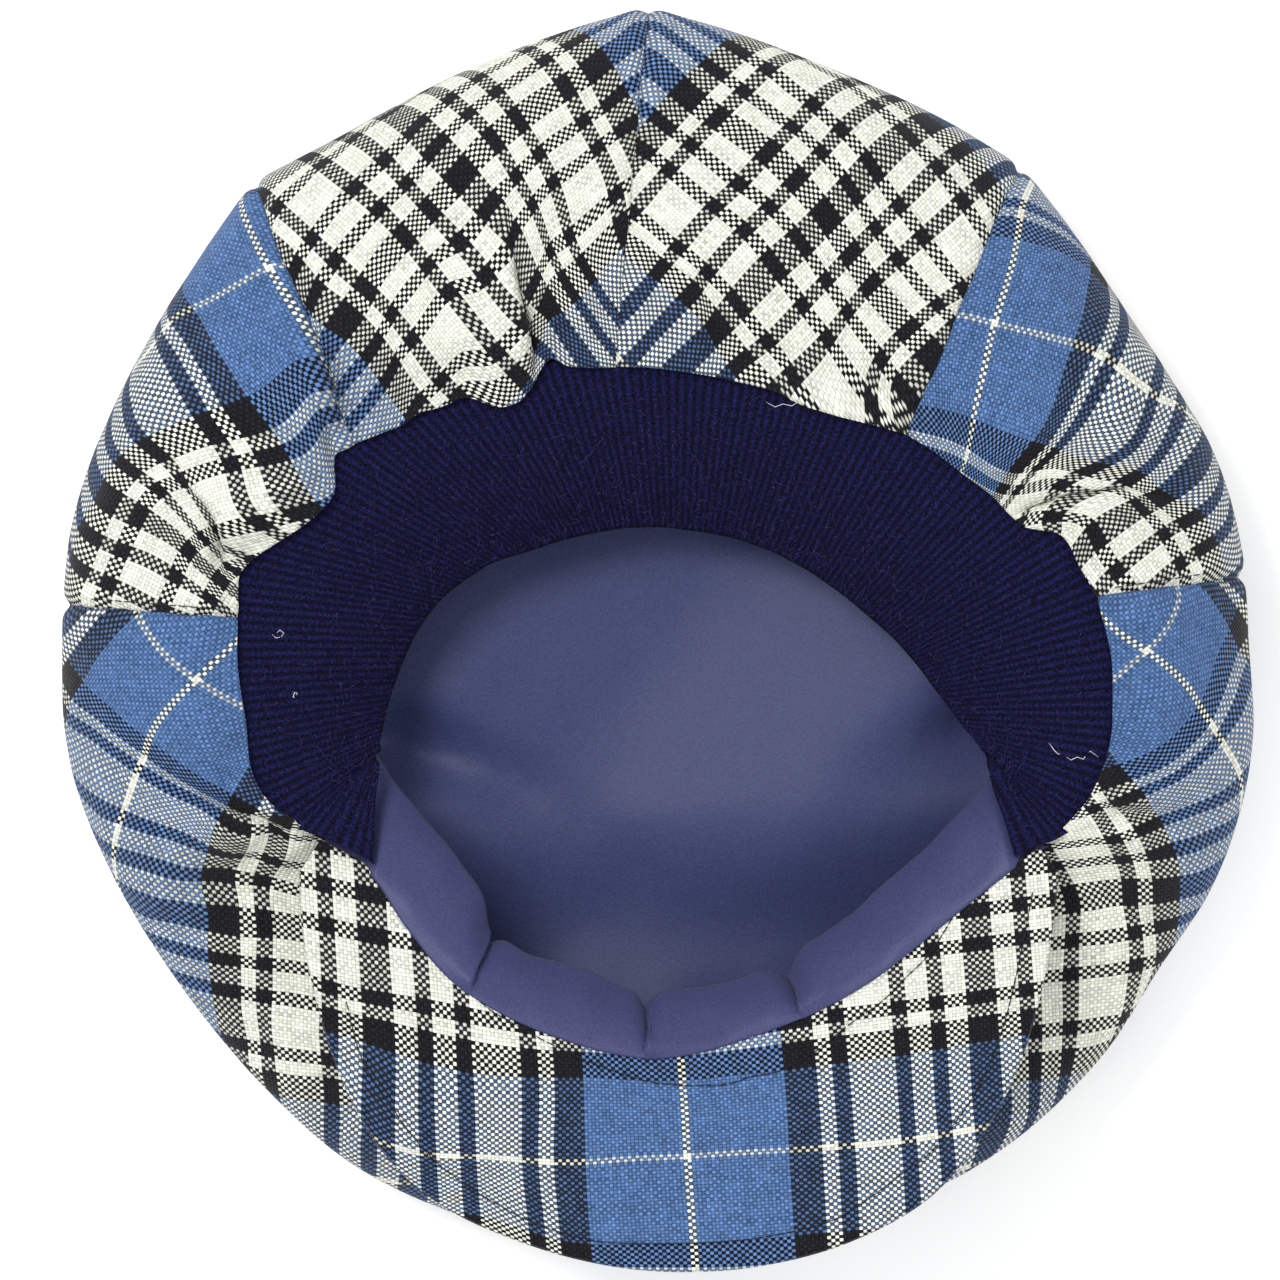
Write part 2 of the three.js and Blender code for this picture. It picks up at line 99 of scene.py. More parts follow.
# Folds: a valley from the mouth (x0, y0) by way of (x1, y1) to (x2, y2), its width and
# depth, the lip that stands beside it, on the left of the valley when positive, and how far
# the lip leans over the valley
FOLDS = [
    (-26, 61, -34, 80, -34, 106, 2.4, 9.0, 4.6, 2.6),
    (-71, 45, -76, 70, -87, 98, 2.8, 5.0, 3.4, 1.0),
    (-97, 15, -102, 36, -114, 37, 2.0, 5.0, -3.2, 2.0),
    (-88, -42, -104, -40, -124, -22, 3.0, 6.0, 3.4, 1.2),
    (-86, -45, -98, -56, -114, -58, 2.6, 4.4, 1.6, 0.4),
    (86, 28, 94, 40, 121, 32, 1.8, 5.0, 3.0, 2.2),
    (101, -36, 108, -42, 124, -38, 2.6, 5.5, 3.0, 1.0),
    (17, 62, 11, 76, 9, 96, 2.8, 3.4, 2.2, 0.6),
    (46, 52, 50, 62, 50, 78, 2.6, 1.6, 1.0, 0.0),
]
# Gathered edge over the band: mouth angle and how far the edge lies inside the mouth line
GATHERED_EDGE = [
    (5.5, -0.6), (9.5, -0.9), (14.7, -2.8), (17.2, 2.4), (24, -0.7), (30.6, -2.5),
    (38.9, -3.0), (46.8, -0.8), (56.2, 0.7), (65.8, -0.6), (84, 0.0), (98, 0.2),
    (102.3, 0.0), (107.5, -1.6), (110.4, -4.0), (115.8, 0.5), (119.7, 2.4), (124.2, 1.7),
    (127.6, -2.4), (132.7, -1.9), (136.2, -1.9), (140.5, 0.0), (147.6, 0.0), (150, -1.2),
    (156.4, 4.2), (165.4, 0.0), (170.7, -2.8), (173.5, -1.8), (177, -0.4), (190, 0.0),
    (270, 0.0), (350, 0.0),
]


def hermite(rows, x):
    """Cubic curve through rows of (place, value), its slope at a row taken from both neighbours."""
    place, value = rows[:, 0], rows[:, 1]
    i = np.clip(np.searchsorted(place, x) - 1, 1, len(rows) - 3)
    step = place[i + 1] - place[i]
    t = (x - place[i]) / step
    slope_in = (value[i + 1] - value[i - 1]) / (place[i + 1] - place[i - 1]) * step
    slope_out = (value[i + 2] - value[i]) / (place[i + 2] - place[i]) * step
    return (
        value[i] * (2 * t**3 - 3 * t**2 + 1)
        + slope_in * (t**3 - 2 * t**2 + t)
        + value[i + 1] * (3 * t**2 - 2 * t**3)
        + slope_out * (t**3 - t**2)
    )


def around(rows):
    """Closed curve through rows of (angle, value), repeated every 360 degrees."""
    rows = np.array(sorted(rows), dtype=float)
    turn = np.array([360.0, 0.0])
    looped = np.vstack([rows[-2:] - turn, rows, rows[:3] + turn])
    return lambda angle: hermite(looped, np.mod(angle, 360))


def along(rows):
    """Open curve through rows of (place, value), running on straight at both ends."""
    rows = np.array(sorted(rows), dtype=float)
    longer = np.vstack([2 * rows[0] - rows[1], rows, 2 * rows[-1] - rows[-2]])
    return lambda place: hermite(longer, place)


def smooth(x):
    """Eased step from 0 to 1: 3x^2 - 2x^3 between its ends."""
    x = np.clip(x, 0, 1)
    return x * x * (3 - 2 * x)


def mix(a, b, share):
    """Straight blend: a where share is 0 and b where it is 1."""
    return a + (b - a) * share


def polar(angle, radius, height):
    """Point at an angle in degrees, a distance from the middle and a height."""
    a = np.radians(angle)
    return np.stack(np.broadcast_arrays(radius * np.cos(a), radius * np.sin(a), height), -1)


def bezier(a, b, c, d, t):
    """Cubic curve from a to d, leaving towards b and arriving from c."""
    t = t[..., None]
    return a * (1 - t) ** 3 + 3 * b * t * (1 - t) ** 2 + 3 * c * t**2 * (1 - t) + d * t**3


rim_smooth = around(RIM)
mouth_radius = around(MOUTH)
gathered_edge = around(GATHERED_EDGE)
lean = around([(rim, mouth - rim) for rim, mouth, _, _ in SEAMS] + [(angle, 0) for angle in STRAIGHT])


def rim_radius(angle):
    """Rim with a soft corner at each seam, dying away exponentially to both sides."""
    total = rim_smooth(angle)
    for rim, _, corner, reach in SEAMS:
        apart = np.abs(np.mod(angle - rim + 180, 360) - 180)
        total = total + corner * np.exp(-apart / reach)
    return total


def under_peak(angle):
    """Share of a mouth angle that lies below the peak, 1 in the middle of it."""
    turned = np.mod(angle, 360)
    return smooth((turned - 203) / 10) * smooth((338 - turned) / 8)


# Outline of the peak: the angle at its seam and the plan point of its outer edge opposite
PEAK = [
    (209.5, -82.0, -45.5), (213, -81.7, -63.0), (218, -79.0, -79.0), (224, -73.4, -98.0),
    (231, -64.0, -116.0), (239, -50.0, -129.5), (249, -31.0, -138.5), (260, -12.0, -143.8),
    (270, 6.0, -145.5), (280, 25.0, -144.0), (291, 45.0, -138.5), (301, 63.0, -128.5),
    (309, 75.5, -114.0), (317, 84.5, -96.5), (325, 90.5, -74.5), (333, 94.0, -48.5),
]
PEAK_REACH = [
    (np.mod(np.degrees(np.arctan2(y, x)), 360), np.hypot(x, y)) for _, x, y in PEAK
]
PEAK_DEPTH = 4.2
peak_reach = along(PEAK_REACH)


def peak_height(x, y):
    """Height of the peak's seam cloth: rolled sideways to a circle and rising outwards."""
    return PEAK_HEIGHT + x**2 / (2 * PEAK_BEND_RADIUS) - PEAK_RISE * (mouth_radius(270.0) + y)


def mouth_height(angle):
    """Height of the mouth edge: free at the back and sides, stacked under the peak in front."""
    free = mix(MOUTH_SIDE, MOUTH_BACK, np.clip(np.sin(np.radians(angle)), 0, 1) ** 2)
    edge = polar(angle, mouth_radius(angle), 0.0)
    front = peak_height(edge[..., 0], edge[..., 1]) - PEAK_STACK
    return mix(free, front, under_peak(angle))


def crown_smooth(angle, way):
    """Middle of the crown cloth without folds. way 0 to 1 is the flat crown, 1 to 2 the turn
    up to the rim as a cubic curve, and 2 to 3 the cubic curve from the rim back to the mouth."""
    angle, way = np.broadcast_arrays(np.asarray(angle, float), np.asarray(way, float))
    rim = rim_radius(angle)
    flat = rim - BASE_TO_RIM
    base = polar(angle, flat, CLOTH / 2)
    edge = polar(angle, rim, RIM_HEIGHT)
    inner = polar(angle, flat * way, CLOTH / 2)
    side = bezier(
        base, polar(angle, mix(flat, rim, 0.62), CLOTH / 2),
        polar(angle, rim, RIM_HEIGHT * 0.45), edge, np.clip(way - 1, 0, 1),
    )
    mouth_angle = angle + lean(angle)
    mouth = polar(mouth_angle, mouth_radius(mouth_angle), mouth_height(mouth_angle))
    front = under_peak(mouth_angle)
    over = edge.copy()
    over[..., 2] = mix(RIM_HEIGHT, mouth[..., 2], mix(0.72, 0.5, front))
    crest = (mouth + edge) / 2
    crest[..., 2] = mouth[..., 2] + mix(CREST_FREE, CREST_UNDER_PEAK, front)
    under = bezier(edge, over, crest, mouth, np.clip(way - 2, 0, 1))
    way = way[..., None]
    return np.where(way <= 1, inner, np.where(way <= 2, side, under))


def normals_of(surface, u, v, du, dv):
    """Unit normals of surface(u, v), from points a little to each side."""
    across = surface(u + du, v) - surface(u - du, v)
    onward = surface(u, v + dv) - surface(u, v - dv)
    normal = np.cross(across, onward)
    return normal / np.linalg.norm(normal, axis=-1, keepdims=True)


def folded(x, y, folds):
    """Height of the folds over a plan point and how far the cloth leans sideways there. Each
    is a bell-shaped valley across its path, and a lip beside it with a steep face and a long
    back that leans over the valley. Both fade out along the path."""
    total = np.zeros_like(x)
    leaning = np.zeros((*x.shape, 2))
    steps = np.linspace(0, 1, 41)
    pick = np.take_along_axis
    for x0, y0, x1, y1, x2, y2, width, depth, lift, over in folds:
        a, b, c = np.array([x0, y0]), np.array([x1, y1]), np.array([x2, y2])
        s = steps[:, None]
        path = a * (1 - s) ** 2 + 2 * b * s * (1 - s) + c * s**2
        ahead = np.gradient(path, axis=0)
        apart = np.stack([x, y], -1)[..., None, :] - path
        distance = np.linalg.norm(apart, axis=-1)
        near = distance.argmin(-1)
        closest = pick(distance, near[..., None], -1)[..., 0]
        offset = pick(apart, near[..., None, None], -2)[..., 0, :]
        side = np.sign(ahead[near, 0] * offset[..., 1] - ahead[near, 1] * offset[..., 0])
        d = side * closest / (width * (1.3 - 0.6 * steps[near]))
        fade = 1 - smooth(steps[near]) * 0.95
        beside = d * np.sign(lift)
        lip = smooth(beside / 1.3) * np.exp(-np.maximum(beside - 1.3, 0) / 2.5)
        total += (abs(lift) * lip - depth * np.exp(-(d**2))) * fade
        crest = smooth(beside / 0.9) * np.exp(-np.maximum(beside - 0.9, 0) / 1.6) * fade
        leaning -= offset * (over * crest / np.maximum(closest, 0.2))[..., None]
    return total, leaning


def ripple(x, y, seed):
    """Soft unevenness of handled cloth: a sum of twelve plane waves 9 to 40 mm long."""
    rng = np.random.default_rng(seed)
    total = np.zeros_like(x)
    for length in np.geomspace(9, 40, 12):
        heading = rng.uniform(0, np.pi)
        phase = rng.uniform(0, 2 * np.pi)
        wave = (x * np.cos(heading) + y * np.sin(heading)) * 2 * np.pi / length
        total += np.sin(wave + phase) * length**0.5
    return total / 22


def crown(angle, way, start, end, puff, seed):
    """Crown cloth with its puff between the seams at start and end, its folds, gathers that
    deepen towards the mouth, and a dip where the edges are drawn down into the seams."""
    point = crown_smooth(angle, way)
    normal = normals_of(crown_smooth, angle, way, 0.5, 0.02)
    share = (angle - start) / (end - start)
    mouth_angle = angle + lean(angle)
    free = 1 - under_peak(mouth_angle)
    raised = smooth((way - 2) * 4) * smooth((3 - way) * 7) * free
    lift = puff * np.sin(np.pi * share) * np.sin(np.pi * np.clip(way - 2, 0, 1))
    fold, leaning = folded(point[..., 0], point[..., 1], FOLDS)
    lift = (lift + fold) * raised
    radius = np.hypot(point[..., 0], point[..., 1])
    gather = np.sin(np.radians(mouth_angle) * GATHERS + 1.3 * np.sin(np.radians(mouth_angle) * 7))
    lift += GATHER_DEPTH * gather * smooth((way - 2.55) / 0.35) * smooth((3.02 - way) * 9) * free
    uneven = UNEVENNESS * ripple(point[..., 0], point[..., 1], seed)
    lift += uneven * smooth((way - 1.95) * 3) * smooth((3 - way) * 7)
    to_seam = np.minimum(angle - start, end - angle) * np.pi / 180 * radius
    lift -= SEAM_DIP * np.exp(-((to_seam / SEAM_DIP) ** 2)) * smooth((way - 0.9) * 4)
    # The gathered edge swells, comes in over the band or stays back, and rolls down to it
    moved = point + normal * lift[..., None]
    moved[..., :2] += leaning * raised[..., None]
    swell = np.sin(np.pi * smooth((way - 2.6) / 0.4)) * free
    moved[..., 2] += swell * EDGE_SWELL - smooth((way - 2.84) / 0.16) * EDGE_ROLL * free
    inward = polar(mouth_angle + 180, 1.0, 0.0)
    reach = smooth((way - 2.4) / 0.6) * (0.5 + gathered_edge(mouth_angle)) * free
    moved = moved + inward * reach[..., None]
    # The peak covers it in front, and beyond the peak's edge it rises again
    x, y = moved[..., 0], moved[..., 1]
    turned = np.mod(np.degrees(np.arctan2(y, x)), 360)
    beyond = np.maximum(np.hypot(x, y) - peak_reach(turned), 0)
    limit = peak_height(x, y) - PEAK_DEPTH + 1.1 * beyond
    covered = smooth((turned - 207) / 4) * smooth((335 - turned) / 4) * (way > 2)
    moved[..., 2] = mix(moved[..., 2], np.minimum(moved[..., 2], limit), covered)
    return moved


def spline(knots, values, slack=2e-4):
    """Smooth function through values at knots: cubes of the distances to the knots plus a plane,
    with a little slack so that an uneven reading of one place isn't followed exactly."""
    knots = np.asarray(knots, float) / 100
    count = len(knots)
    away = np.linalg.norm(knots[:, None] - knots[None], axis=-1) ** 3
    plane = np.hstack([np.ones((count, 1)), knots])
    size = plane.shape[1]
    system = np.block([[away + slack * np.eye(count), plane], [plane.T, np.zeros((size, size))]])
    weights = np.linalg.solve(system, np.concatenate([values, np.zeros(size)]))

    def at(points):
        points = points / 100
        away = np.linalg.norm(points[..., None, :] - knots, axis=-1) ** 3
        return away @ weights[:count] + weights[count] + points @ weights[count + 1:]

    return at


# The photograph is read in its own pixels: millimetres to a pixel, pixels to a side, and the
# pixel over the origin
PIXEL = 0.232
PIXELS = 1280
PIXEL_MIDDLE_X = 654.5
PIXEL_MIDDLE_Y = 640.0


def plan_of(places):
    """Plan point in millimetres of places read in the photograph's pixels."""
    places = np.asarray(places, float)
    return np.stack(
        [(places[..., 0] - PIXEL_MIDDLE_X) * PIXEL, (PIXEL_MIDDLE_Y - places[..., 1]) * PIXEL], -1
    )


def reach_of(flat, angle, way):
    """Distance from the middle of a crown piece's points when the piece is laid out flat about
    its rim: they keep their distance from the rim along the cloth, and what is under the rim
    comes to lie beyond it."""
    walk = np.cumsum(np.linalg.norm(np.diff(flat, axis=0, prepend=flat[:1]), axis=-1), axis=0)
    rim = np.argmin(np.abs(way[:, 0] - 2))
    return rim_radius(angle) - (walk - walk[rim])


def laid_places(places, flat, laid, way):
    """Where places read in plan lie on the laid-out cloth: at the nearest point of the upper
    side, moved on by the slopes there."""
    upper = way[:, 0] >= 2
    plan, target = flat[upper][..., :2], laid[upper]
    slopes = np.stack([np.gradient(plan, axis=0), np.gradient(plan, axis=1)], -1)
    target_slopes = np.stack([np.gradient(target, axis=0), np.gradient(target, axis=1)], -1)
    apart = np.linalg.norm(places[:, None, None] - plan, axis=-1)
    near = np.unravel_index(apart.reshape(len(places), -1).argmin(1), plan.shape[:2])
    moves = np.linalg.pinv(slopes[near]) @ (places - plan[near])[..., None]
    return target[near] + (target_slopes[near] @ np.clip(moves, -1, 1))[..., 0]


def sample_of(grid, way, ways, columns):
    """Points of a grid at some ways, in a number of columns from one side to the other."""
    rows = [np.argmin(np.abs(way[:, 0] - at)) for at in ways]
    across = np.linspace(0, grid.shape[1] - 1, columns).astype(int)
    return grid[np.ix_(rows, across)].reshape(-1, grid.shape[-1])


# The readings below count steps of 0.52 mm, in which half the pattern is 135.5 long. In
# threads of 0.91 mm it is 78 long.
HALF_IN_STEPS = 135.5
TURN_BACK = 78


def thread_places(lines):
    """Knots (x, y) and thread numbers of a table of steps and places along them."""
    knots = [plan_of(places) for places in lines.values()]
    numbers = [np.full(len(places), step * TURN_BACK / HALF_IN_STEPS) for step, places in lines.items()]
    return np.vstack(knots), np.concatenate(numbers)


# Threads of the check where it can be read on the front piece: the steps across from the
# white middle line, then places along that thread, in the photograph's pixels
FRONT_ACROSS = {
    -330: [(95, 625), (75, 650), (62, 668)],
    -316: [(135, 617), (120, 632), (100, 658), (85, 683)],
    -271: [(235, 642), (215, 658), (195, 680), (160, 720), (142, 760), (125, 812), (119, 835)],
    -226: [(228, 800), (207, 855), (208, 930), (213, 1000), (218, 1020)],
    -205.5: [(248, 880), (256, 920), (256, 1020)],
    -178: [(319, 1010), (320, 1060), (321, 1090)],
    -160.5: [(362, 1100)],
    330: [(1221, 585), (1230, 600), (1240, 615)],
    316: [(1200, 587), (1210, 602), (1222, 620), (1230, 635)],
    271: [(1108, 622), (1146, 650), (1182, 682), (1213, 730), (1241, 772)],
    226: [(1133, 780), (1158, 815), (1170, 845), (1180, 890)],
    205.5: [(1127, 845), (1140, 890), (1144, 940)],
    178: [(1080, 890), (1080, 940), (1080, 990)],
    160.5: [(1043, 1060)],
    142.5: [(1010, 1110)],
}
# The same for threads along it, counted from the white line at the ear seams
FRONT_ALONG = {
    0: [
        (140, 620), (160, 648), (195, 680), (238, 706),
        (1181, 582), (1163, 632), (1146, 650), (1121, 675),
    ],
    -45: [
        (100, 697), (140, 732), (200, 776), (240, 797),
        (1135, 760), (1170, 738), (1197, 705), (1216, 655),
    ],
    -59: [(100, 715), (140, 751), (200, 797), (240, 822), (1165, 768), (1205, 728), (1240, 650)],
    -93: [(100, 797), (140, 815), (200, 833), (1160, 812), (1200, 799), (1240, 776)],
    -110.5: [(140, 850), (200, 868), (295, 882), (1150, 848), (1190, 835), (1230, 820)],
    -128.5: [(160, 895), (225, 905), (295, 915), (1090, 880), (1165, 877), (1218, 860)],
    -142.5: [(160, 920), (225, 935), (295, 941), (1090, 911), (1165, 902), (1200, 892)],
    -160.5: [(225, 965), (295, 975)],
    -178: [(225, 998), (295, 1010), (1060, 983), (1095, 979)],
    -198: [(225, 1035), (295, 1048), (1055, 1022), (1100, 1017)],
    -226: [(295, 1101), (1035, 1081), (1060, 1078)],
}
UNDER_ACROSS = (0.66, 0)
UNDER_ALONG = (0.76, -28)


def front_threads(flat, angle, way):
    """Thread numbers across and along of the front piece, laid out flat about its rim. They
    follow the readings above the rim and the straight check of the flat crown under it."""
    turned = np.radians(angle)[..., None]
    laid = reach_of(flat, angle, way)[..., None] * np.concatenate([np.cos(turned), np.sin(turned)], -1)
    flat_ways = (0.02, 0.25, 0.5, 0.75, 1.0)
    under = sample_of(laid, way, flat_ways, 15)
    plan = sample_of(flat, way, flat_ways, 15)
    threads = []
    for axis, lines, (pitch, middle) in ((0, FRONT_ACROSS, UNDER_ACROSS), (1, FRONT_ALONG, UNDER_ALONG)):
        places, numbers = thread_places(lines)
        knots = np.vstack([laid_places(places, flat, laid, way), under])
        threads.append(spline(knots, np.concatenate([numbers, plan[:, axis] / pitch + middle]))(laid))
    return np.stack(threads, -1)


def shell(name, points, normals, thickness, threads=None, loop=False, pole=False):
    """Closed piece of cloth of one thickness about a grid of middle points: an outer and an
    inner skin and a wall between their edges. Rows are joined end to end when loop is set, and
    the first row is one point when pole is set. Threads are those of both skins, or of each."""
    rows, columns = points.shape[:2]
    if pole:
        normals[0] = (0, 0, -1)
    count = rows * columns
    half = normals * thickness / 2
    both = np.stack([points + half, points - half]).reshape(-1, 3)
    index = np.arange(count).reshape(rows, columns)
    if loop:
        index = np.hstack([index, index[:, :1]])
    a, b, c, d = index[:-1, :-1], index[:-1, 1:], index[1:, 1:], index[1:, :-1]
    faces = [np.stack([a, b, c, d], -1).reshape(-1, 4)]
    faces.append(np.stack([d, c, b, a], -1).reshape(-1, 4) + count)
    far, near = index[-1], index[0]
    faces.append(np.stack([far[:-1], far[1:], far[1:] + count, far[:-1] + count], -1))
    if not pole:
        faces.append(np.stack([near[:-1] + count, near[1:] + count, near[1:], near[:-1]], -1))
    if not loop:
        first, last = index[:, 0], index[:, -1]
        faces.append(np.stack([first[:-1], first[1:], first[1:] + count, first[:-1] + count], -1))
        faces.append(np.stack([last[:-1] + count, last[1:] + count, last[1:], last[:-1]], -1))
    faces = np.concatenate(faces)
    mesh = bpy.data.meshes.new(name)
    mesh.from_pydata((both - CENTRE) * METRE, [], faces)
    if threads is not None:
        layer = mesh.uv_layers.new(name="threads")
        skins = np.broadcast_to(threads, (2, rows, columns, 2)).reshape(-1, 2)
        layer.data.foreach_set("uv", skins[faces.ravel()].ravel())
    mesh.polygons.foreach_set("use_smooth", np.ones(len(faces), bool))
    piece = bpy.data.objects.new(name, mesh)
    bpy.context.scene.collection.objects.link(piece)
    if pole:
        weld = piece.modifiers.new("pole", "WELD")
        weld.merge_threshold = 1e-6
    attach(piece, "root")
    return piece


def grid_normals(points):
    """Unit normals of a grid of points, from the differences between its neighbours."""
    across = np.gradient(points, axis=1)
    onward = np.gradient(points, axis=0)
    normal = np.cross(across, onward)
    return normal / np.maximum(np.linalg.norm(normal, axis=-1, keepdims=True), 1e-9)


def crown_piece(name, start, end, columns, puff, seed, threads_at, node):
    """One piece of the crown between two seams, from the middle of the crown to the mouth."""
    inner, turn, upper = np.linspace(0.012, 1, 12), np.linspace(1, 2, 22), np.linspace(2, 3, 84)
    way = np.concatenate([inner, turn[1:], upper[1:]])
    rest = crown_smooth(np.full_like(way, start), way)
    half = np.degrees(np.arcsin(np.clip(0.08 / np.hypot(rest[:, 0], rest[:, 1]), 0, 0.5)))
    share = np.linspace(0, 1, columns)
    share = mix(share, smooth(share), 0.35)
    angle = (start + half)[:, None] + (end - start - 2 * half)[:, None] * share[None]
    way = np.broadcast_to(way[:, None], angle.shape)
    points = crown(angle, way, start, end, puff, seed)
    flat = crown_smooth(angle, way)
    threads = threads_at(flat, angle, way)
    piece = shell(name, points, grid_normals(points), CLOTH, threads)
    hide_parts(node)
    return piece


def srgb(red, green, blue):
    """Linear colour of a colour given as it shows on a screen, 0 to 255."""
    value = np.array([red, green, blue]) / 255
    linear = np.where(value < 0.04045, value / 12.92, ((value + 0.055) / 1.055) ** 2.4)
    return (*linear, 1.0)


def maths(nodes, operation, *inputs, clamp=False):
    """Maths node with its inputs linked or set in order, giving its output socket."""
    node = nodes.new("ShaderNodeMath")
    node.operation = operation
    node.use_clamp = clamp
    for socket, value in zip(node.inputs, inputs):
        if isinstance(value, (int, float)):
            socket.default_value = value
        else:
            nodes.id_data.links.new(value, socket)
    return node.outputs[0]


def from_middle(nodes, thread):
    """Distance from the middle of the thread that a thread number lies on, 0.5 at its sides."""
    return maths(nodes, "ABSOLUTE", maths(nodes, "SUBTRACT", maths(nodes, "FRACT", thread), 0.5))


def multiplied(nodes, colour, share):
    """Colour times a number: the colour as a value or a socket, the number as a socket."""
    node = nodes.new("ShaderNodeMix")
    node.data_type = "RGBA"
    node.blend_type = "MULTIPLY"
    node.inputs["Factor"].default_value = 1.0
    if isinstance(colour, tuple):
        node.inputs["A"].default_value = colour
    else:
        nodes.id_data.links.new(colour, node.inputs["A"])
    nodes.id_data.links.new(share, node.inputs["B"])
    return node.outputs["Result"]


def spread(nodes, noise, low, high):
    """Number between low and high from a noise, which mostly lies between 0.3 and 0.7."""
    node = nodes.new("ShaderNodeMapRange")
    for socket, value in (("From Min", 0.3), ("From Max", 0.7), ("To Min", low), ("To Max", high)):
        node.inputs[socket].default_value = value
    nodes.id_data.links.new(noise, node.inputs["Value"])
    return node.outputs[0]


def blended(nodes, share, a, b):
    """Number between a and b: a where share is 0 and b where it is 1."""
    return maths(nodes, "ADD", a, maths(nodes, "MULTIPLY", share, maths(nodes, "SUBTRACT", b, a)))


# How much painted shade darkens a thread at its sides and its ends, how little of that shade
# the cream shows, how dark the painted shade is that outlines unlike threads and how much more
# falls on a thread sunk among them; then how unlike the crossings are and between which shares
# a thread's own colour varies
SIDE_SHADE = 5.6
END_SHADE = 8.0
CREAM_GLOW = 0.72
OUTLINE_SHADE = 0.95
SUNK_SHADE = 0.2
CROSSING_CHANCE = 0.34
SLUB = (0.78, 1.16)
THREAD_HEIGHT = 0.0004
# Threads of the check, from the middle of the blue field to the middle of the black line
# where the pattern turns back: the first thread of each stripe and its colour
CREAM = srgb(222, 223, 211)
BLUE = srgb(81, 112, 160)
BLACK = srgb(28, 27, 32)
STRIPES = [
    (0, CREAM), (1, BLUE), (26, BLACK), (34, CREAM), (38, BLACK), (42, CREAM),
    (54, BLACK), (58, CREAM), (64, BLACK), (68, CREAM), (74, BLACK),
]


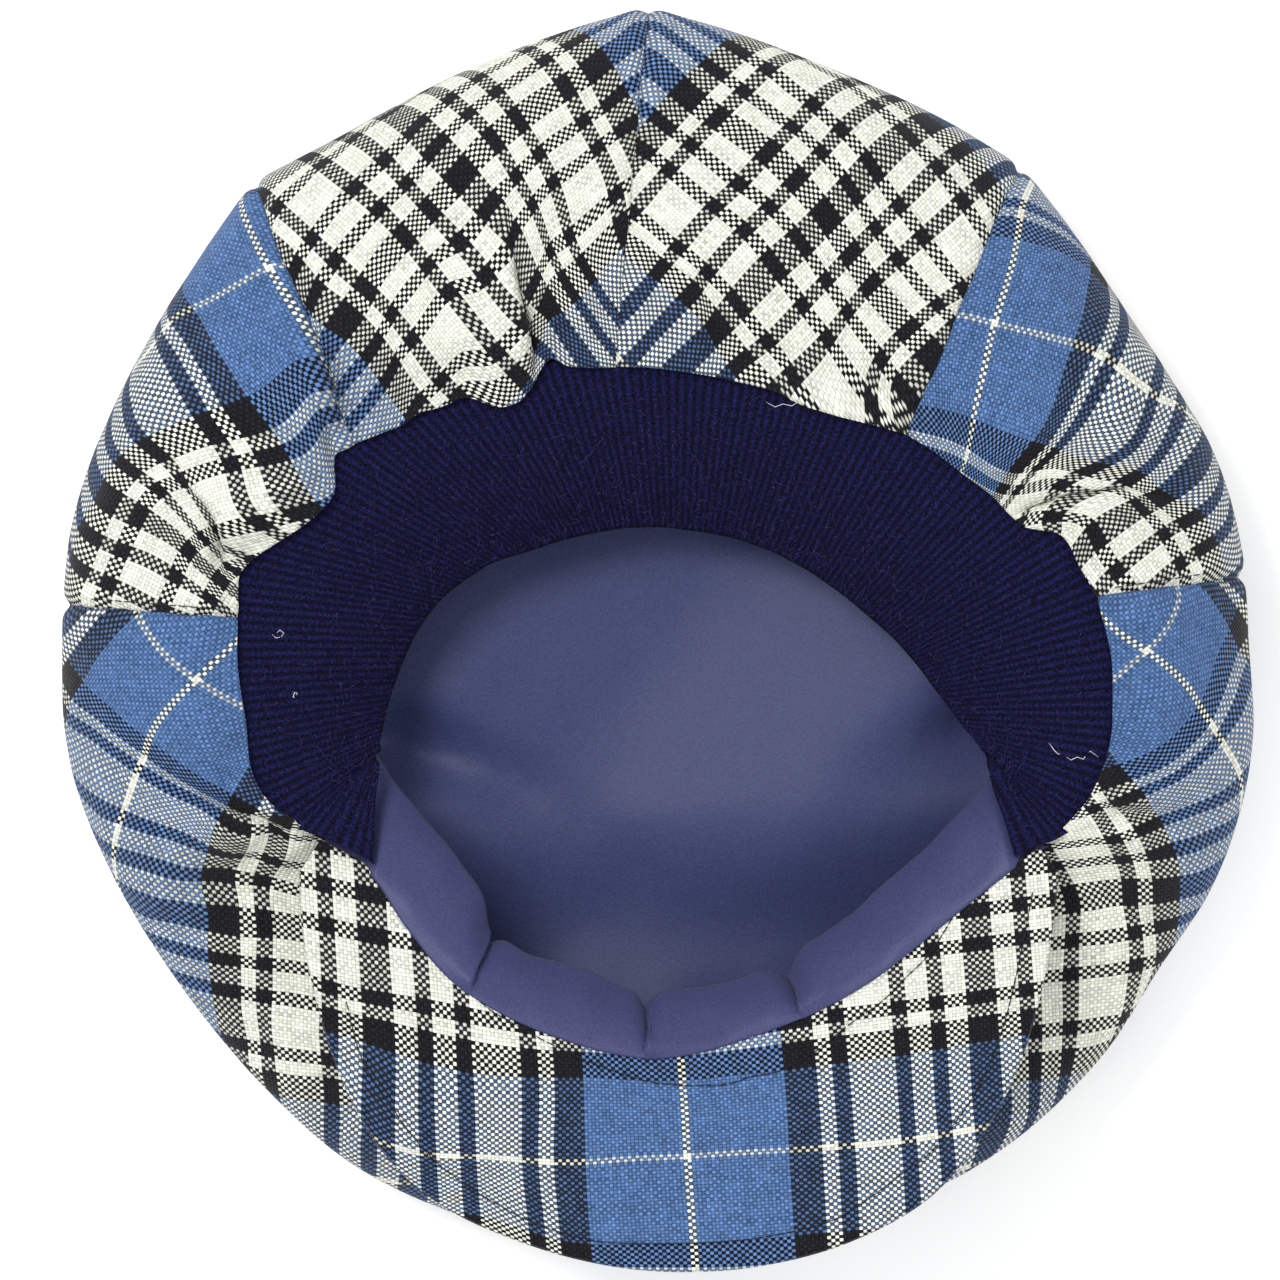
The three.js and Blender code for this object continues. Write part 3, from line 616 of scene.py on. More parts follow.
def check_cloth():
    """Plain weave of the check. The threads' numbers are the UV map: warp and weft each take
    the colour of their own number, and the one on top changes from crossing to crossing."""
    material = bpy.data.materials.new("check_cloth")
    material.use_nodes = True
    nodes, links = material.node_tree.nodes, material.node_tree.links
    shader = nodes["Principled BSDF"]
    uv = nodes.new("ShaderNodeUVMap")
    uv.uv_map = "threads"
    split = nodes.new("ShaderNodeSeparateXYZ")
    links.new(uv.outputs[0], split.inputs[0])
    colours, centres, numbers = [], [], []
    for axis in (0, 1):
        thread = split.outputs[axis]
        number = maths(nodes, "FLOOR", thread)
        middle = maths(nodes, "ADD", number, 0.5)
        turned_back = maths(nodes, "PINGPONG", middle, TURN_BACK)
        ramp = nodes.new("ShaderNodeValToRGB")
        ramp.color_ramp.interpolation = "CONSTANT"
        for at, (first, colour) in enumerate(STRIPES):
            stops = ramp.color_ramp.elements
            stop = stops[at] if at < 2 else stops.new(1.0)
            stop.position = first / TURN_BACK
            stop.color = colour
        links.new(maths(nodes, "DIVIDE", turned_back, TURN_BACK), ramp.inputs[0])
        slub = nodes.new("ShaderNodeTexNoise")
        slub.inputs["Scale"].default_value = 1.0
        slub.inputs["Detail"].default_value = 2.0
        stretch = nodes.new("ShaderNodeCombineXYZ")
        other = split.outputs[1 - axis]
        links.new(maths(nodes, "MULTIPLY", number, 7.31), stretch.inputs[0])
        links.new(maths(nodes, "MULTIPLY", other, 0.11), stretch.inputs[1])
        links.new(stretch.outputs[0], slub.inputs["Vector"])
        colours.append(multiplied(nodes, ramp.outputs[0], spread(nodes, slub.outputs[0], *SLUB)))
        centres.append(from_middle(nodes, thread))
        numbers.append(number)
    total = maths(nodes, "ADD", numbers[0], numbers[1])
    parity = maths(nodes, "MODULO", maths(nodes, "ADD", total, 4000), 2)
    over = nodes.new("ShaderNodeMix")
    over.data_type = "RGBA"
    links.new(parity, over.inputs["Factor"])
    links.new(colours[0], over.inputs["A"])
    links.new(colours[1], over.inputs["B"])
    # Painted shade: the thread on top darkens towards its two sides and where it dips under at
    # both ends, less so on the cream, which lets the light through
    sideways = blended(nodes, parity, centres[0], centres[1])
    lengthways = blended(nodes, parity, centres[1], centres[0])
    side = maths(nodes, "MULTIPLY", maths(nodes, "POWER", sideways, 3), SIDE_SHADE)
    end = maths(nodes, "MULTIPLY", maths(nodes, "POWER", lengthways, 4), END_SHADE)
    green = nodes.new("ShaderNodeSeparateColor")
    links.new(over.outputs["Result"], green.inputs[0])
    solid = maths(nodes, "SUBTRACT", 1.0, maths(nodes, "MULTIPLY", green.outputs[1], CREAM_GLOW))
    # Painted shade: a thread that crosses one of another colour gets a darker outline, and a dark
    # thread there is darkened all over where it sinks beside the other
    greens = []
    for colour in colours:
        parts = nodes.new("ShaderNodeSeparateColor")
        links.new(colour, parts.inputs[0])
        greens.append(parts.outputs[1])
    apart = maths(nodes, "ABSOLUTE", maths(nodes, "SUBTRACT", greens[0], greens[1]))
    unlike = maths(nodes, "MULTIPLY", apart, 2.0, clamp=True)
    outline = maths(nodes, "MAXIMUM", solid, maths(nodes, "MULTIPLY", unlike, OUTLINE_SHADE))
    shade_and_tone = maths(nodes, "MULTIPLY", maths(nodes, "ADD", side, end), outline)
    sunk = maths(nodes, "MULTIPLY", maths(nodes, "MULTIPLY", unlike, solid), SUNK_SHADE)
    shade_and_tone = maths(nodes, "ADD", shade_and_tone, sunk)
    # Painted light and shade: warp floats are lighter and weft floats darker. Apart from that, no
    # two crossings are quite alike in tone
    way_up = maths(nodes, "MULTIPLY", maths(nodes, "SUBTRACT", parity, 0.5), 0.5)
    crossing = nodes.new("ShaderNodeCombineXYZ")
    links.new(numbers[0], crossing.inputs[0])
    links.new(numbers[1], crossing.inputs[1])
    chance = nodes.new("ShaderNodeTexWhiteNoise")
    chance.noise_dimensions = "2D"
    links.new(crossing.outputs[0], chance.inputs["Vector"])
    off = maths(nodes, "SUBTRACT", chance.outputs["Value"], 0.5)
    odd = maths(nodes, "MULTIPLY", off, CROSSING_CHANCE)
    shade_and_tone = maths(nodes, "ADD", shade_and_tone, maths(nodes, "MULTIPLY", maths(nodes, "ADD", way_up, odd), solid))
    # What the painted light and shade and the random tone leave of each thread's colour
    left = maths(nodes, "SUBTRACT", 1.0, shade_and_tone)
    links.new(multiplied(nodes, over.outputs["Result"], left), shader.inputs["Base Color"])
    bump = nodes.new("ShaderNodeBump")
    bump.inputs["Strength"].default_value = 0.6
    bump.inputs["Distance"].default_value = THREAD_HEIGHT
    squares = [maths(nodes, "POWER", centre, 2) for centre in centres]
    round_off = maths(nodes, "MULTIPLY", maths(nodes, "ADD", *squares), 2.0)
    links.new(maths(nodes, "SUBTRACT", 1.0, round_off), bump.inputs["Height"])
    links.new(bump.outputs[0], shader.inputs["Normal"])
    shader.inputs["Roughness"].default_value = 0.9
    shader.inputs["Sheen Weight"].default_value = 0.05
    shader.inputs["Specular IOR Level"].default_value = 0.1
    return material


check = check_cloth()
front = crown_piece(
    "front_panel_cloth", LEFT_EAR, RIGHT_EAR + 360, columns=316, puff=0.0, seed=3,
    threads_at=front_threads, node="front_panel",
)
front.data.materials.append(check)

# Crown cloth, right rear side piece
# A gore of the same cloth on the cross, from the right ear seam to the right rear seam. It is
# folded over itself above the ear.
GORE_PUFF = 1.8
SIDE_RIGHT_ACROSS = {
    0: [(1023, 203), (1013, 257), (983, 353), (968, 413), (960, 463)],
    45: [(1088, 268), (1072, 337), (1052, 403), (1040, 433)],
    59: [(1107, 283), (1098, 340), (1072, 400), (1058, 427)],
    73: [(1125, 300), (1117, 353), (1092, 407), (1078, 430)],
    93: [(1150, 343), (1143, 393), (1123, 450)],
    97: [(1097, 471)],
    105.75: [(1108, 473), (1098, 479), (1063, 490)],
    114.5: [(1177, 407), (1157, 453), (1129, 477), (1110, 487), (1059, 512)],
    123.5: [(1140, 491), (1093, 507), (1064, 533)],
    135.5: [(1207, 447), (1177, 483), (1155, 498), (1132, 508), (1087, 540)],
    147.5: [(1162, 515), (1128, 538), (1092, 567)],
    156.5: [(1220, 480), (1185, 523), (1160, 536), (1116, 572)],
    165.25: [(1178, 543), (1152, 563)],
    174: [(1228, 523), (1202, 547), (1178, 564)],
}
SIDE_RIGHT_ALONG = {
    0: [(973, 322), (1037, 338), (1097, 358), (1153, 400), (1193, 420)],
    45: [(960, 420), (1020, 437), (1105, 466), (1152, 495), (1197, 513), (1213, 548)],
    52: [(1045, 457), (1097, 471), (1129, 477), (1155, 498), (1185, 523), (1202, 547)],
    59: [(930, 443), (987, 465), (1030, 473)],
    62.25: [(1098, 479), (1162, 515), (1178, 543)],
    69.25: [(1110, 487), (1132, 508), (1160, 536), (1178, 564)],
    73: [(963, 477), (1013, 493)],
    83: [(1063, 490), (1093, 507), (1128, 538), (1152, 563)],
    97: [(1059, 512), (1087, 540), (1116, 572)],
    105.75: [(1064, 533), (1092, 567)],
}


def gore_threads(across, along_it, start, end):
    """Thread numbers of a rear gore laid out flat about its rim. The plane that fits the
    readings best carries its threads on below the rim."""
    middle = (start + end) / 2
    sideways = polar(middle + 90, 1.0, 0.0)[:2]

    def threads_at(flat, angle, way):
        outward = reach_of(flat, angle, way) * np.cos(np.radians(angle - middle))
        laid = np.stack([outward, flat[..., :2] @ sideways], -1)
        under = sample_of(laid, way, (0.05, 0.5, 1.0, 1.5), 3)
        threads = []
        for lines in (across, along_it):
            places, numbers = thread_places(lines)
            knots = laid_places(places, flat, laid, way)
            plane = np.linalg.lstsq(np.column_stack([np.ones(len(knots)), knots]), numbers, rcond=None)[0]
            carried = np.column_stack([np.ones(len(under)), under]) @ plane
            fit = spline(np.vstack([knots, under]), np.concatenate([numbers, carried]))
            threads.append(fit(laid))
        return np.stack(threads, -1)

    return threads_at


def plain_cloth(name, colour, roughness, thread, strength, sheen, mottle=0.16):
    """Plain dyed cloth. Noise of a thread's size in millimetres on object coordinates gives
    both its bump and its mottle, the share by which the colour comes and goes."""
    material = bpy.data.materials.new(name)
    material.use_nodes = True
    nodes, links = material.node_tree.nodes, material.node_tree.links
    shader = nodes["Principled BSDF"]
    place = nodes.new("ShaderNodeTexCoord")
    grain = nodes.new("ShaderNodeTexNoise")
    grain.inputs["Scale"].default_value = 1000 / thread
    grain.inputs["Detail"].default_value = 3.0
    links.new(place.outputs["Object"], grain.inputs["Vector"])
    tint = spread(nodes, grain.outputs[0], 1 - mottle, 1 + mottle)
    links.new(multiplied(nodes, colour, tint), shader.inputs["Base Color"])
    bump = nodes.new("ShaderNodeBump")
    bump.inputs["Strength"].default_value = strength
    bump.inputs["Distance"].default_value = 0.0002
    links.new(grain.outputs[0], bump.inputs["Height"])
    links.new(bump.outputs[0], shader.inputs["Normal"])
    shader.inputs["Roughness"].default_value = roughness
    shader.inputs["Sheen Weight"].default_value = sheen
    shader.inputs["Specular IOR Level"].default_value = 0.15
    return material


def strands(name, paths, radius, material):
    """Lengths of thread as one mesh. Each is a four-sided tube along its own path, and its
    first and last rings are small and closed."""
    count, steps = paths.shape[:2]
    onward = np.gradient(paths, axis=1)
    side = np.cross(onward, (0.0, 0.0, 1.0))
    side /= np.maximum(np.linalg.norm(side, axis=-1, keepdims=True), 1e-9)
    rise = np.cross(side, onward)
    rise /= np.maximum(np.linalg.norm(rise, axis=-1, keepdims=True), 1e-9)
    size = np.full(steps, radius)
    size[[0, -1]] = radius * 0.35
    turn = np.radians([45, 135, 225, 315])
    ring = side[:, :, None] * np.cos(turn)[:, None] + rise[:, :, None] * np.sin(turn)[:, None]
    points = paths[:, :, None] + ring * size[:, None, None]
    index = np.arange(points[..., 0].size).reshape(count, steps, 4)
    near, far = index[:, :-1], index[:, 1:]
    walls = np.stack([far, np.roll(far, -1, 2), np.roll(near, -1, 2), near], -1).reshape(-1, 4)
    faces = np.concatenate([walls, index[:, 0], index[:, -1, ::-1]])
    mesh = bpy.data.meshes.new(name)
    mesh.from_pydata((points.reshape(-1, 3) - CENTRE) * METRE, [], faces)
    mesh.polygons.foreach_set("use_smooth", np.ones(len(faces), bool))
    piece = bpy.data.objects.new(name, mesh)
    bpy.context.scene.collection.objects.link(piece)
    piece.data.materials.append(material)
    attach(piece, "root")
    return piece


def stitches_along(line, pitch, length):
    """Paths of stitches along a line of points on cloth: one every pitch, lying on the cloth
    for its length and dipping into it at both ends."""
    walk = np.concatenate([[0], np.cumsum(np.linalg.norm(np.diff(line, axis=0), axis=1))])
    share = np.linspace(0, 1, 5)
    at = np.arange(0, walk[-1] - length, pitch)[:, None] + share * length
    paths = np.stack([np.interp(at, walk, line[:, i]) for i in range(3)], -1)
    paths[..., 2] += 0.25 * np.sin(np.pi * share) - 0.1
    return paths


# Topstitching in black thread, here beside the ear seams
STITCH_PITCH = 2.6
STITCH_LENGTH = 2.45
STITCH_RADIUS = 0.18
STITCH_INSET = 1.9
black_thread = plain_cloth("black_thread", BLACK, 0.8, 0.3, 0.5, 0.1)


def ear_stitches(name, hand, seam, start, end, seed):
    """Row of stitches on a rear side piece along its ear seam, on the given hand of the seam."""
    way = np.linspace(2.06, 2.94, 90)
    radius = np.hypot(*crown_smooth(np.full_like(way, seam), way)[:, :2].T)
    angle = seam + hand * np.degrees(STITCH_INSET / radius)
    line = crown(angle[None], way[None], start, end, GORE_PUFF, seed)[0]
    line[:, 2] += CLOTH / 2 + 0.25
    return strands(name, stitches_along(line, STITCH_PITCH, STITCH_LENGTH), STITCH_RADIUS, black_thread)


side_right = crown_piece(
    "rear_side_right_cloth", RIGHT_EAR, RIGHT_REAR, columns=84, puff=GORE_PUFF, seed=5,
    threads_at=gore_threads(SIDE_RIGHT_ACROSS, SIDE_RIGHT_ALONG, RIGHT_EAR, RIGHT_REAR),
    node="rear_side_panel_right",
)
side_right.data.materials.append(check)
right_ear_stitches = ear_stitches("right_ear_stitches", 1, RIGHT_EAR, RIGHT_EAR, RIGHT_REAR, 5)

# Crown cloth, right rear piece
# The gore right of the back seam, with the check at a slant so that it meets the left one
# in a mirror image. Its steps are counted from the middle of a black line.
REAR_RIGHT_ACROSS = {
    0: [(850, 193), (906, 138), (928, 123), (800, 245), (772, 268), (738, 303), (718, 328)],
    -21: [(794, 184), (770, 208), (744, 232), (707, 272), (690, 292), (821, 155), (839, 135), (874, 107)],
    -38.5: [(768, 153), (737, 188), (714, 207), (677, 248), (660, 267), (791, 132), (811, 109)],
    -66.25: [(717, 121), (690, 146), (668, 171), (633, 211), (742, 93), (767, 72)],
    -83.5: [(686, 95), (663, 124), (642, 148), (713, 73), (735, 52)],
    21: [(851, 255), (828, 281), (802, 307), (768, 343), (740, 362), (876, 230), (899, 209), (936, 171)],
    38.5: [(871, 285), (849, 310), (830, 337), (794, 373), (898, 261), (922, 238), (962, 204)],
    66.25: [(906, 333), (873, 413), (936, 310), (960, 292)],
    83.5: [(930, 366), (897, 393), (952, 331)],
}
REAR_RIGHT_ALONG = {
    0: [(794, 184), (768, 153), (717, 121), (686, 95), (851, 255), (871, 285), (906, 333), (930, 366)],
    -21: [(850, 193), (876, 230), (898, 261), (936, 310), (952, 331), (821, 155), (791, 132), (742, 93)],
    -38.5: [(872, 172), (899, 209), (922, 238), (960, 292), (839, 135), (811, 109), (767, 72), (735, 52)],
    -66.25: [(906, 138), (936, 171), (962, 204), (874, 107)],
    -83.5: [(928, 123), (960, 153), (983, 180)],
    21: [(800, 245), (770, 208), (737, 188), (690, 146), (663, 124), (828, 281), (849, 310), (897, 393)],
    38.5: [(772, 268), (744, 232), (714, 207), (668, 171), (642, 148), (802, 307), (830, 337), (873, 413)],
    66.25: [(738, 303), (707, 272), (677, 248), (633, 211), (768, 343), (794, 373)],
    83.5: [(718, 328), (690, 292), (660, 267), (740, 362)],
}


def from_black_line(lines):
    """The same table with its steps counted from the white line instead of the black one."""
    return {step + HALF_IN_STEPS: places for step, places in lines.items()}


rear_right = crown_piece(
    "rear_right_cloth", RIGHT_REAR, BACK, columns=76, puff=GORE_PUFF, seed=7,
    threads_at=gore_threads(
        from_black_line(REAR_RIGHT_ACROSS), from_black_line(REAR_RIGHT_ALONG), RIGHT_REAR, BACK
    ),
    node="rear_panel_right",
)
rear_right.data.materials.append(check)

# Crown cloth, left rear piece
# The gore of the same cloth left of the back seam. A deep fold pushes into it beside the seam.
REAR_LEFT_ACROSS = {
    0: [(488, 207), (513, 233), (437, 152)],
    21: [(430, 213), (460, 246), (482, 273), (513, 317), (408, 190), (387, 165)],
    38.5: [(407, 241), (431, 272), (451, 299), (489, 345), (512, 366), (381, 213), (356, 193), (322, 165)],
    52.5: [(312, 203), (451, 345)],
    66.25: [(367, 292), (395, 318), (417, 345), (445, 385), (334, 262), (312, 242), (277, 208)],
    83.5: [(346, 320), (372, 348), (390, 373), (312, 297), (294, 267)],
    -21: [(496, 143)],
    -38.5: [(519, 123), (555, 191), (570, 241)],
    -52.5: [(587, 190)],
    -66.25: [(567, 90), (584, 124)],
    -83.5: [(597, 67)],
}
REAR_LEFT_ALONG = {
    0: [
        (461, 178), (430, 213), (407, 241), (367, 292), (346, 320),
        (496, 143), (519, 123), (567, 90), (597, 67),
    ],
    21: [(488, 207), (460, 246), (431, 272), (395, 318), (372, 348), (584, 124)],
    38.5: [(513, 233), (482, 273), (451, 299), (417, 345), (390, 373), (555, 191)],
    52.5: [(451, 345), (587, 190)],
    66.25: [(513, 317), (489, 345), (445, 385), (570, 241)],
    83.5: [(512, 366)],
    -21: [(437, 152), (408, 190), (381, 213), (334, 262), (312, 297)],
    -38.5: [(387, 165), (356, 193), (312, 242), (294, 267)],
    -66.25: [(322, 165), (277, 208)],
}
rear_left = crown_piece(
    "rear_left_cloth", BACK, LEFT_REAR, columns=80, puff=GORE_PUFF, seed=11,
    threads_at=gore_threads(
        from_black_line(REAR_LEFT_ACROSS), from_black_line(REAR_LEFT_ALONG), BACK, LEFT_REAR
    ),
    node="rear_panel_left",
)
rear_left.data.materials.append(check)

# Crown cloth, left rear side piece
# A gore of the same cloth from the left rear seam to the left ear seam, with a pleat that
# runs from the rim to the mouth.
SIDE_LEFT_ACROSS = {
    0: [(270, 270), (243, 207), (263, 257), (297, 317), (333, 383)],
    45: [(187, 293), (202, 318), (222, 357), (242, 395)],
    52: [(241, 417), (261, 451), (290, 505)],
    59: [(193, 350), (210, 380), (219, 402)],
    69.25: [(211, 430), (229, 463), (257, 521)],
    93: [(137, 400), (147, 430)],
    97: [(159, 453), (187, 482), (215, 533)],
    114.5: [(134, 470), (163, 491)],
    135.5: [(109, 498), (145, 518), (198, 547)],
    156.5: [(92, 535), (126, 552), (181, 580), (212, 598)],
    174: [(80, 568), (111, 583), (162, 610)],
}
SIDE_LEFT_ALONG = {
    0: [(270, 270), (247, 283), (213, 303), (183, 320), (150, 350)],
    45: [(242, 395), (272, 378), (303, 361)],
    52: [(241, 417), (211, 430), (159, 453), (134, 470), (109, 498), (92, 535), (80, 568)],
    59: [(263, 423), (333, 387)],
    69.25: [(261, 451), (229, 463), (187, 482), (163, 491), (145, 518), (126, 552), (111, 583), (340, 410)],
    93: [(300, 493), (333, 473)],
    97: [(290, 505), (257, 521), (215, 533), (198, 547), (181, 580), (162, 610)],
    114.5: [(212, 598)],
}
side_left = crown_piece(
    "rear_side_left_cloth", LEFT_REAR, LEFT_EAR, columns=84, puff=GORE_PUFF, seed=13,
    threads_at=gore_threads(SIDE_LEFT_ACROSS, SIDE_LEFT_ALONG, LEFT_REAR, LEFT_EAR),
    node="rear_side_panel_left",
)
side_left.data.materials.append(check)
left_ear_stitches = ear_stitches("left_ear_stitches", -1, LEFT_EAR, LEFT_REAR, LEFT_EAR, 13)

# Lining
# Thin dark blue satin, cut like the crown and sewn in at the mouth. It lies on the crown in
# the middle and hangs free of it at the rim.
LINING = 0.8
SLATE_BLUE = srgb(52, 58, 95)
LINING_RAISED = 8.0
LINING_SLOPE = 11.0
LINING_FRONT_DIP = 10.0
# How far it lies inside the crown at each way
LINING_SINK = [(0, 2.6), (1, 2.6), (1.6, 3.4), (2.2, 10), (2.6, 11), (2.85, 10), (3, 7.5)]
# Soft creases of the lining, in the same columns as the crown's folds
LINING_CREASES = [
    (-62, -24, -34, -30, -4, -52, 8.0, 5.0, 3.0, 0.0),
    (-52, -42, -30, -60, -6, -72, 12.0, -2.5, -2.0, 0.0),
    (80, -16, 68, -26, 46, -32, 8.0, 7.0, -3.5, 0.0),
]


def lining_points(angle, way):
    """The crown's smooth surface moved inwards by the table above. Over the flat crown it is
    raised, with a few soft creases and a slope that rises to the right and dips in front."""
    ways, sinks = np.array(LINING_SINK, float).T
    i = np.clip(np.searchsorted(ways, way) - 1, 0, len(ways) - 2)
    sink = mix(sinks[i], sinks[i + 1], smooth((way - ways[i]) / (ways[i + 1] - ways[i])))
    point = crown_smooth(angle, way)
    normal = normals_of(crown_smooth, angle, np.maximum(way, 0.05), 0.5, 0.02)
    crease = ripple(point[..., 0] * 0.55, point[..., 1] * 0.55, 21) * smooth((way - 0.1) * 3)
    inner = smooth((2.9 - way) * 5)
    moved = point - normal * (sink + 0.5 * (1 + crease) * inner)[..., None]
    fold, _ = folded(point[..., 0], point[..., 1], LINING_CREASES)
    bottom = smooth((1.6 - way) * 2)
    slope = LINING_SLOPE * smooth((point[..., 0] * 0.8 - point[..., 1] * 0.6 + 2) / 62)
    slope = slope - LINING_FRONT_DIP * smooth((-point[..., 1] - 38) / 34)
    moved[..., 2] += bottom * (LINING_RAISED + fold + slope)
    return moved


way = np.concatenate([[0.0], np.linspace(0.06, 2, 40), np.linspace(2, 3, 36)[1:]])
angle = np.linspace(0, 360, 241)[:-1]
angle, way = np.meshgrid(angle, way)
points = lining_points(angle, way)
points[0] = points[0].mean(0)
lining_normals = grid_normals(np.concatenate([points[:, -1:], points, points[:, :1]], 1))[:, 1:-1]
lining = shell("lining_cloth", points, lining_normals, LINING, loop=True, pole=True)
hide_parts("lining")
lining.data.materials.append(plain_cloth("lining_satin", SLATE_BLUE, 0.45, 0.5, 0.3, 0.05, 0.2))

# Knitted ear band
# A fine rib knit in dark navy wool, folded double and sewn round the back and sides of the
# mouth. It hangs into the opening and its two ends lie on the peak.
NAVY = srgb(13, 13, 47)
KNIT = 2.6
KNIT_RIB = 1.9
KNIT_RIB_DEPTH = 0.2
KNIT_ROW = 1.35
EDGE_GAP = 0.9
# Mouth angles of its two ends, how far it hangs, where it is sewn behind and below the mouth,
# and how far its ends lie over the peak's cloth
BAND_START = -31.4
BAND_END = 219
BAND_DROP = 23.0
BAND_BEHIND_MOUTH = 4.0
BAND_BELOW_MOUTH = 4.2
BAND_OVER_PEAK = 2.1
BAND_UNEVENNESS = 0.35
# Free edge of the band: the angle it leaves the mouth at and the plan point it hangs to
BAND = [
    (BAND_END, -65.3, -30.5), (203, -64.5, -24.5), (190, -62.3, -12.5), (175, -54.5, 5.0),
    (158, -43.0, 16.0), (138, -27.0, 22.3), (112, -12.0, 26.3), (88, 3.5, 27.2),
    (62, 21.5, 23.8), (38, 40.0, 14.5), (17, 55.5, 1.5), (-2, 66.0, -11.0),
    (-16, 74.5, -22.5), (BAND_START, 79.5, -31.8),
]


def hanging(angle, t, table, drop, start, pinch=0.0):
    """Strip that leaves the mouth level, turns down and ends at the free edge of the table:
    a cubic curve across at each angle."""
    free_x = along([(a, x) for a, x, _ in table])(angle)
    free_y = along([(a, y) for a, _, y in table])(angle)
    inward = np.stack([free_x, free_y, np.zeros_like(free_x)], -1) - start
    inward[..., 2] = 0
    reach = np.linalg.norm(inward, axis=-1, keepdims=True)
    inward = inward / reach
    reach = reach - np.asarray(pinch)[..., None]
    down = np.zeros_like(start)
    down[..., 2] = drop
    top = start + inward * EDGE_GAP
    level = start + inward * reach * 0.3
    bend = start + inward * reach * 0.72 - down * 0.45
    return bezier(top, level, bend, start + inward * reach - down, t)


def peak_seam_height(angle):
    """Height of the peak's cloth over the mouth line."""
    edge = polar(angle, mouth_radius(angle), 0.0)
    return peak_height(edge[..., 0], edge[..., 1])


angle, t = np.meshgrid(np.linspace(BAND_START, BAND_END, 1100), np.linspace(0, 1, 30))
over = under_peak(angle)
height = mix(mouth_height(angle) - BAND_BELOW_MOUTH, peak_seam_height(angle), over)
start = polar(angle, mouth_radius(angle) + BAND_BEHIND_MOUTH * (1 - over), height + over * BAND_OVER_PEAK)
from_ends = smooth((BAND_END - angle) / 30) * smooth((angle - BAND_START) / 30)
drop = BAND_DROP * mix(0.45, 1, from_ends)
points = hanging(angle, t, BAND, drop, start)
normals = grid_normals(points)
walk = np.cumsum(np.linalg.norm(np.diff(points[12], axis=0, prepend=points[12, :1]), axis=-1))
rib = KNIT_RIB_DEPTH * np.cos(walk * 2 * np.pi / KNIT_RIB)[None] * smooth((1 - t) * 14)
uneven = BAND_UNEVENNESS * ripple(points[..., 0], points[..., 1], 31)
points = points + normals * (rib + uneven)[..., None]
down_rows = np.cumsum(np.linalg.norm(np.diff(points, axis=0, prepend=points[:1]), axis=-1), axis=0)
stitches = np.stack([np.broadcast_to(walk / KNIT_RIB, angle.shape), down_rows / KNIT_ROW], -1)
band = shell("ear_band_knit", points, normals, KNIT, stitches)
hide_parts("knit_ear_band")


def rib_knit():
    """Rib knit in brushed wool. Columns of stitches lean left and right in turn: waves along the
    UV map's ribs and rows, blurred by the fibres' noise, paint shade into the grooves between
    ribs and rows and light onto the ribs."""
    material = plain_cloth("navy_knit", NAVY, 1.0, 0.55, 1.0, 0.0, 1.0)
    nodes, links = material.node_tree.nodes, material.node_tree.links
    uv = nodes.new("ShaderNodeUVMap")
    uv.uv_map = "threads"
    split = nodes.new("ShaderNodeSeparateXYZ")
    links.new(uv.outputs[0], split.inputs[0])
    across = from_middle(nodes, split.outputs[0])
    row = from_middle(nodes, maths(nodes, "ADD", split.outputs[1], across))
    # Painted shade in the grooves between ribs and rows, painted light on the ribs
    groove = maths(nodes, "ADD", maths(nodes, "MULTIPLY", across, 1.5), maths(nodes, "MULTIPLY", row, 0.5))
    rib_shading = maths(nodes, "SUBTRACT", 1.9, maths(nodes, "MULTIPLY", groove, 1.85))
    base = nodes["Principled BSDF"].inputs["Base Color"]
    links.new(multiplied(nodes, base.links[0].from_socket, rib_shading), base)
    return material


band.data.materials.append(rib_knit())

# Brushed fibres that stand off the knit, and the bits of white lint that lie on it
FIBRES = 2400
FIBRE_RADIUS = 0.045
LINT_RADIUS = 0.1
rng = np.random.default_rng(8)
row = (rng.random(FIBRES) ** 0.6 * (points.shape[0] - 2)).astype(int) + 1
column = rng.integers(0, points.shape[1], FIBRES)
root = points[row, column] + normals[row, column] * KNIT * 0.45
aslant = rng.normal(0, 0.6, (FIBRES, 3))
reach = np.array([0.0, 0.5, 1.0])[None, :, None] * rng.uniform(0.8, 1.9, FIBRES)[:, None, None]
fibres = root[:, None] + normals[row, column][:, None] * reach + aslant[:, None] * reach**2
wool = plain_cloth("navy_fibre", srgb(46, 43, 98), 1.0, 0.4, 0.2, 0.2)
band_fibres = strands("band_fibres", fibres, FIBRE_RADIUS, wool)
LINT = [
    [(766, 402), (775, 407), (783, 404), (792, 406), (799, 401), (807, 402)],
    [(272, 634), (276, 638), (281, 637), (284, 633), (280, 630), (277, 633)],
    [(293, 692), (297, 693), (296, 698), (293, 697), (294, 694), (296, 692)],
    [(1049, 743), (1052, 747), (1054, 750), (1057, 753), (1058, 754), (1060, 754)],
    [(1066, 757), (1071, 760), (1077, 757), (1083, 759), (1090, 751), (1098, 757)],
]
places = plan_of(LINT)
apart = np.linalg.norm(places[:, :, None] - points[..., :2].reshape(-1, 2), axis=-1)
under_lint = points.reshape(-1, 3)[apart.argmin(-1)][..., 2:] + KNIT / 2 + 0.25
white_thread = plain_cloth("white_thread", srgb(205, 205, 215), 0.9, 0.3, 0.2, 0.1)
lint = strands("lint", np.concatenate([places, under_lint], -1), LINT_RADIUS, white_thread)

# Satin sweatband
# A folded strip of the lining's satin that covers the peak's seam. Three tucks take up its
# slack on the inside of the curve, each with an edge that laps over the cloth beside it.
BLUE_VIOLET = srgb(58, 61, 98)
SATIN = 0.9
SWEATBAND_DROP = 14.0
SWEATBAND_UNEVENNESS = 0.45
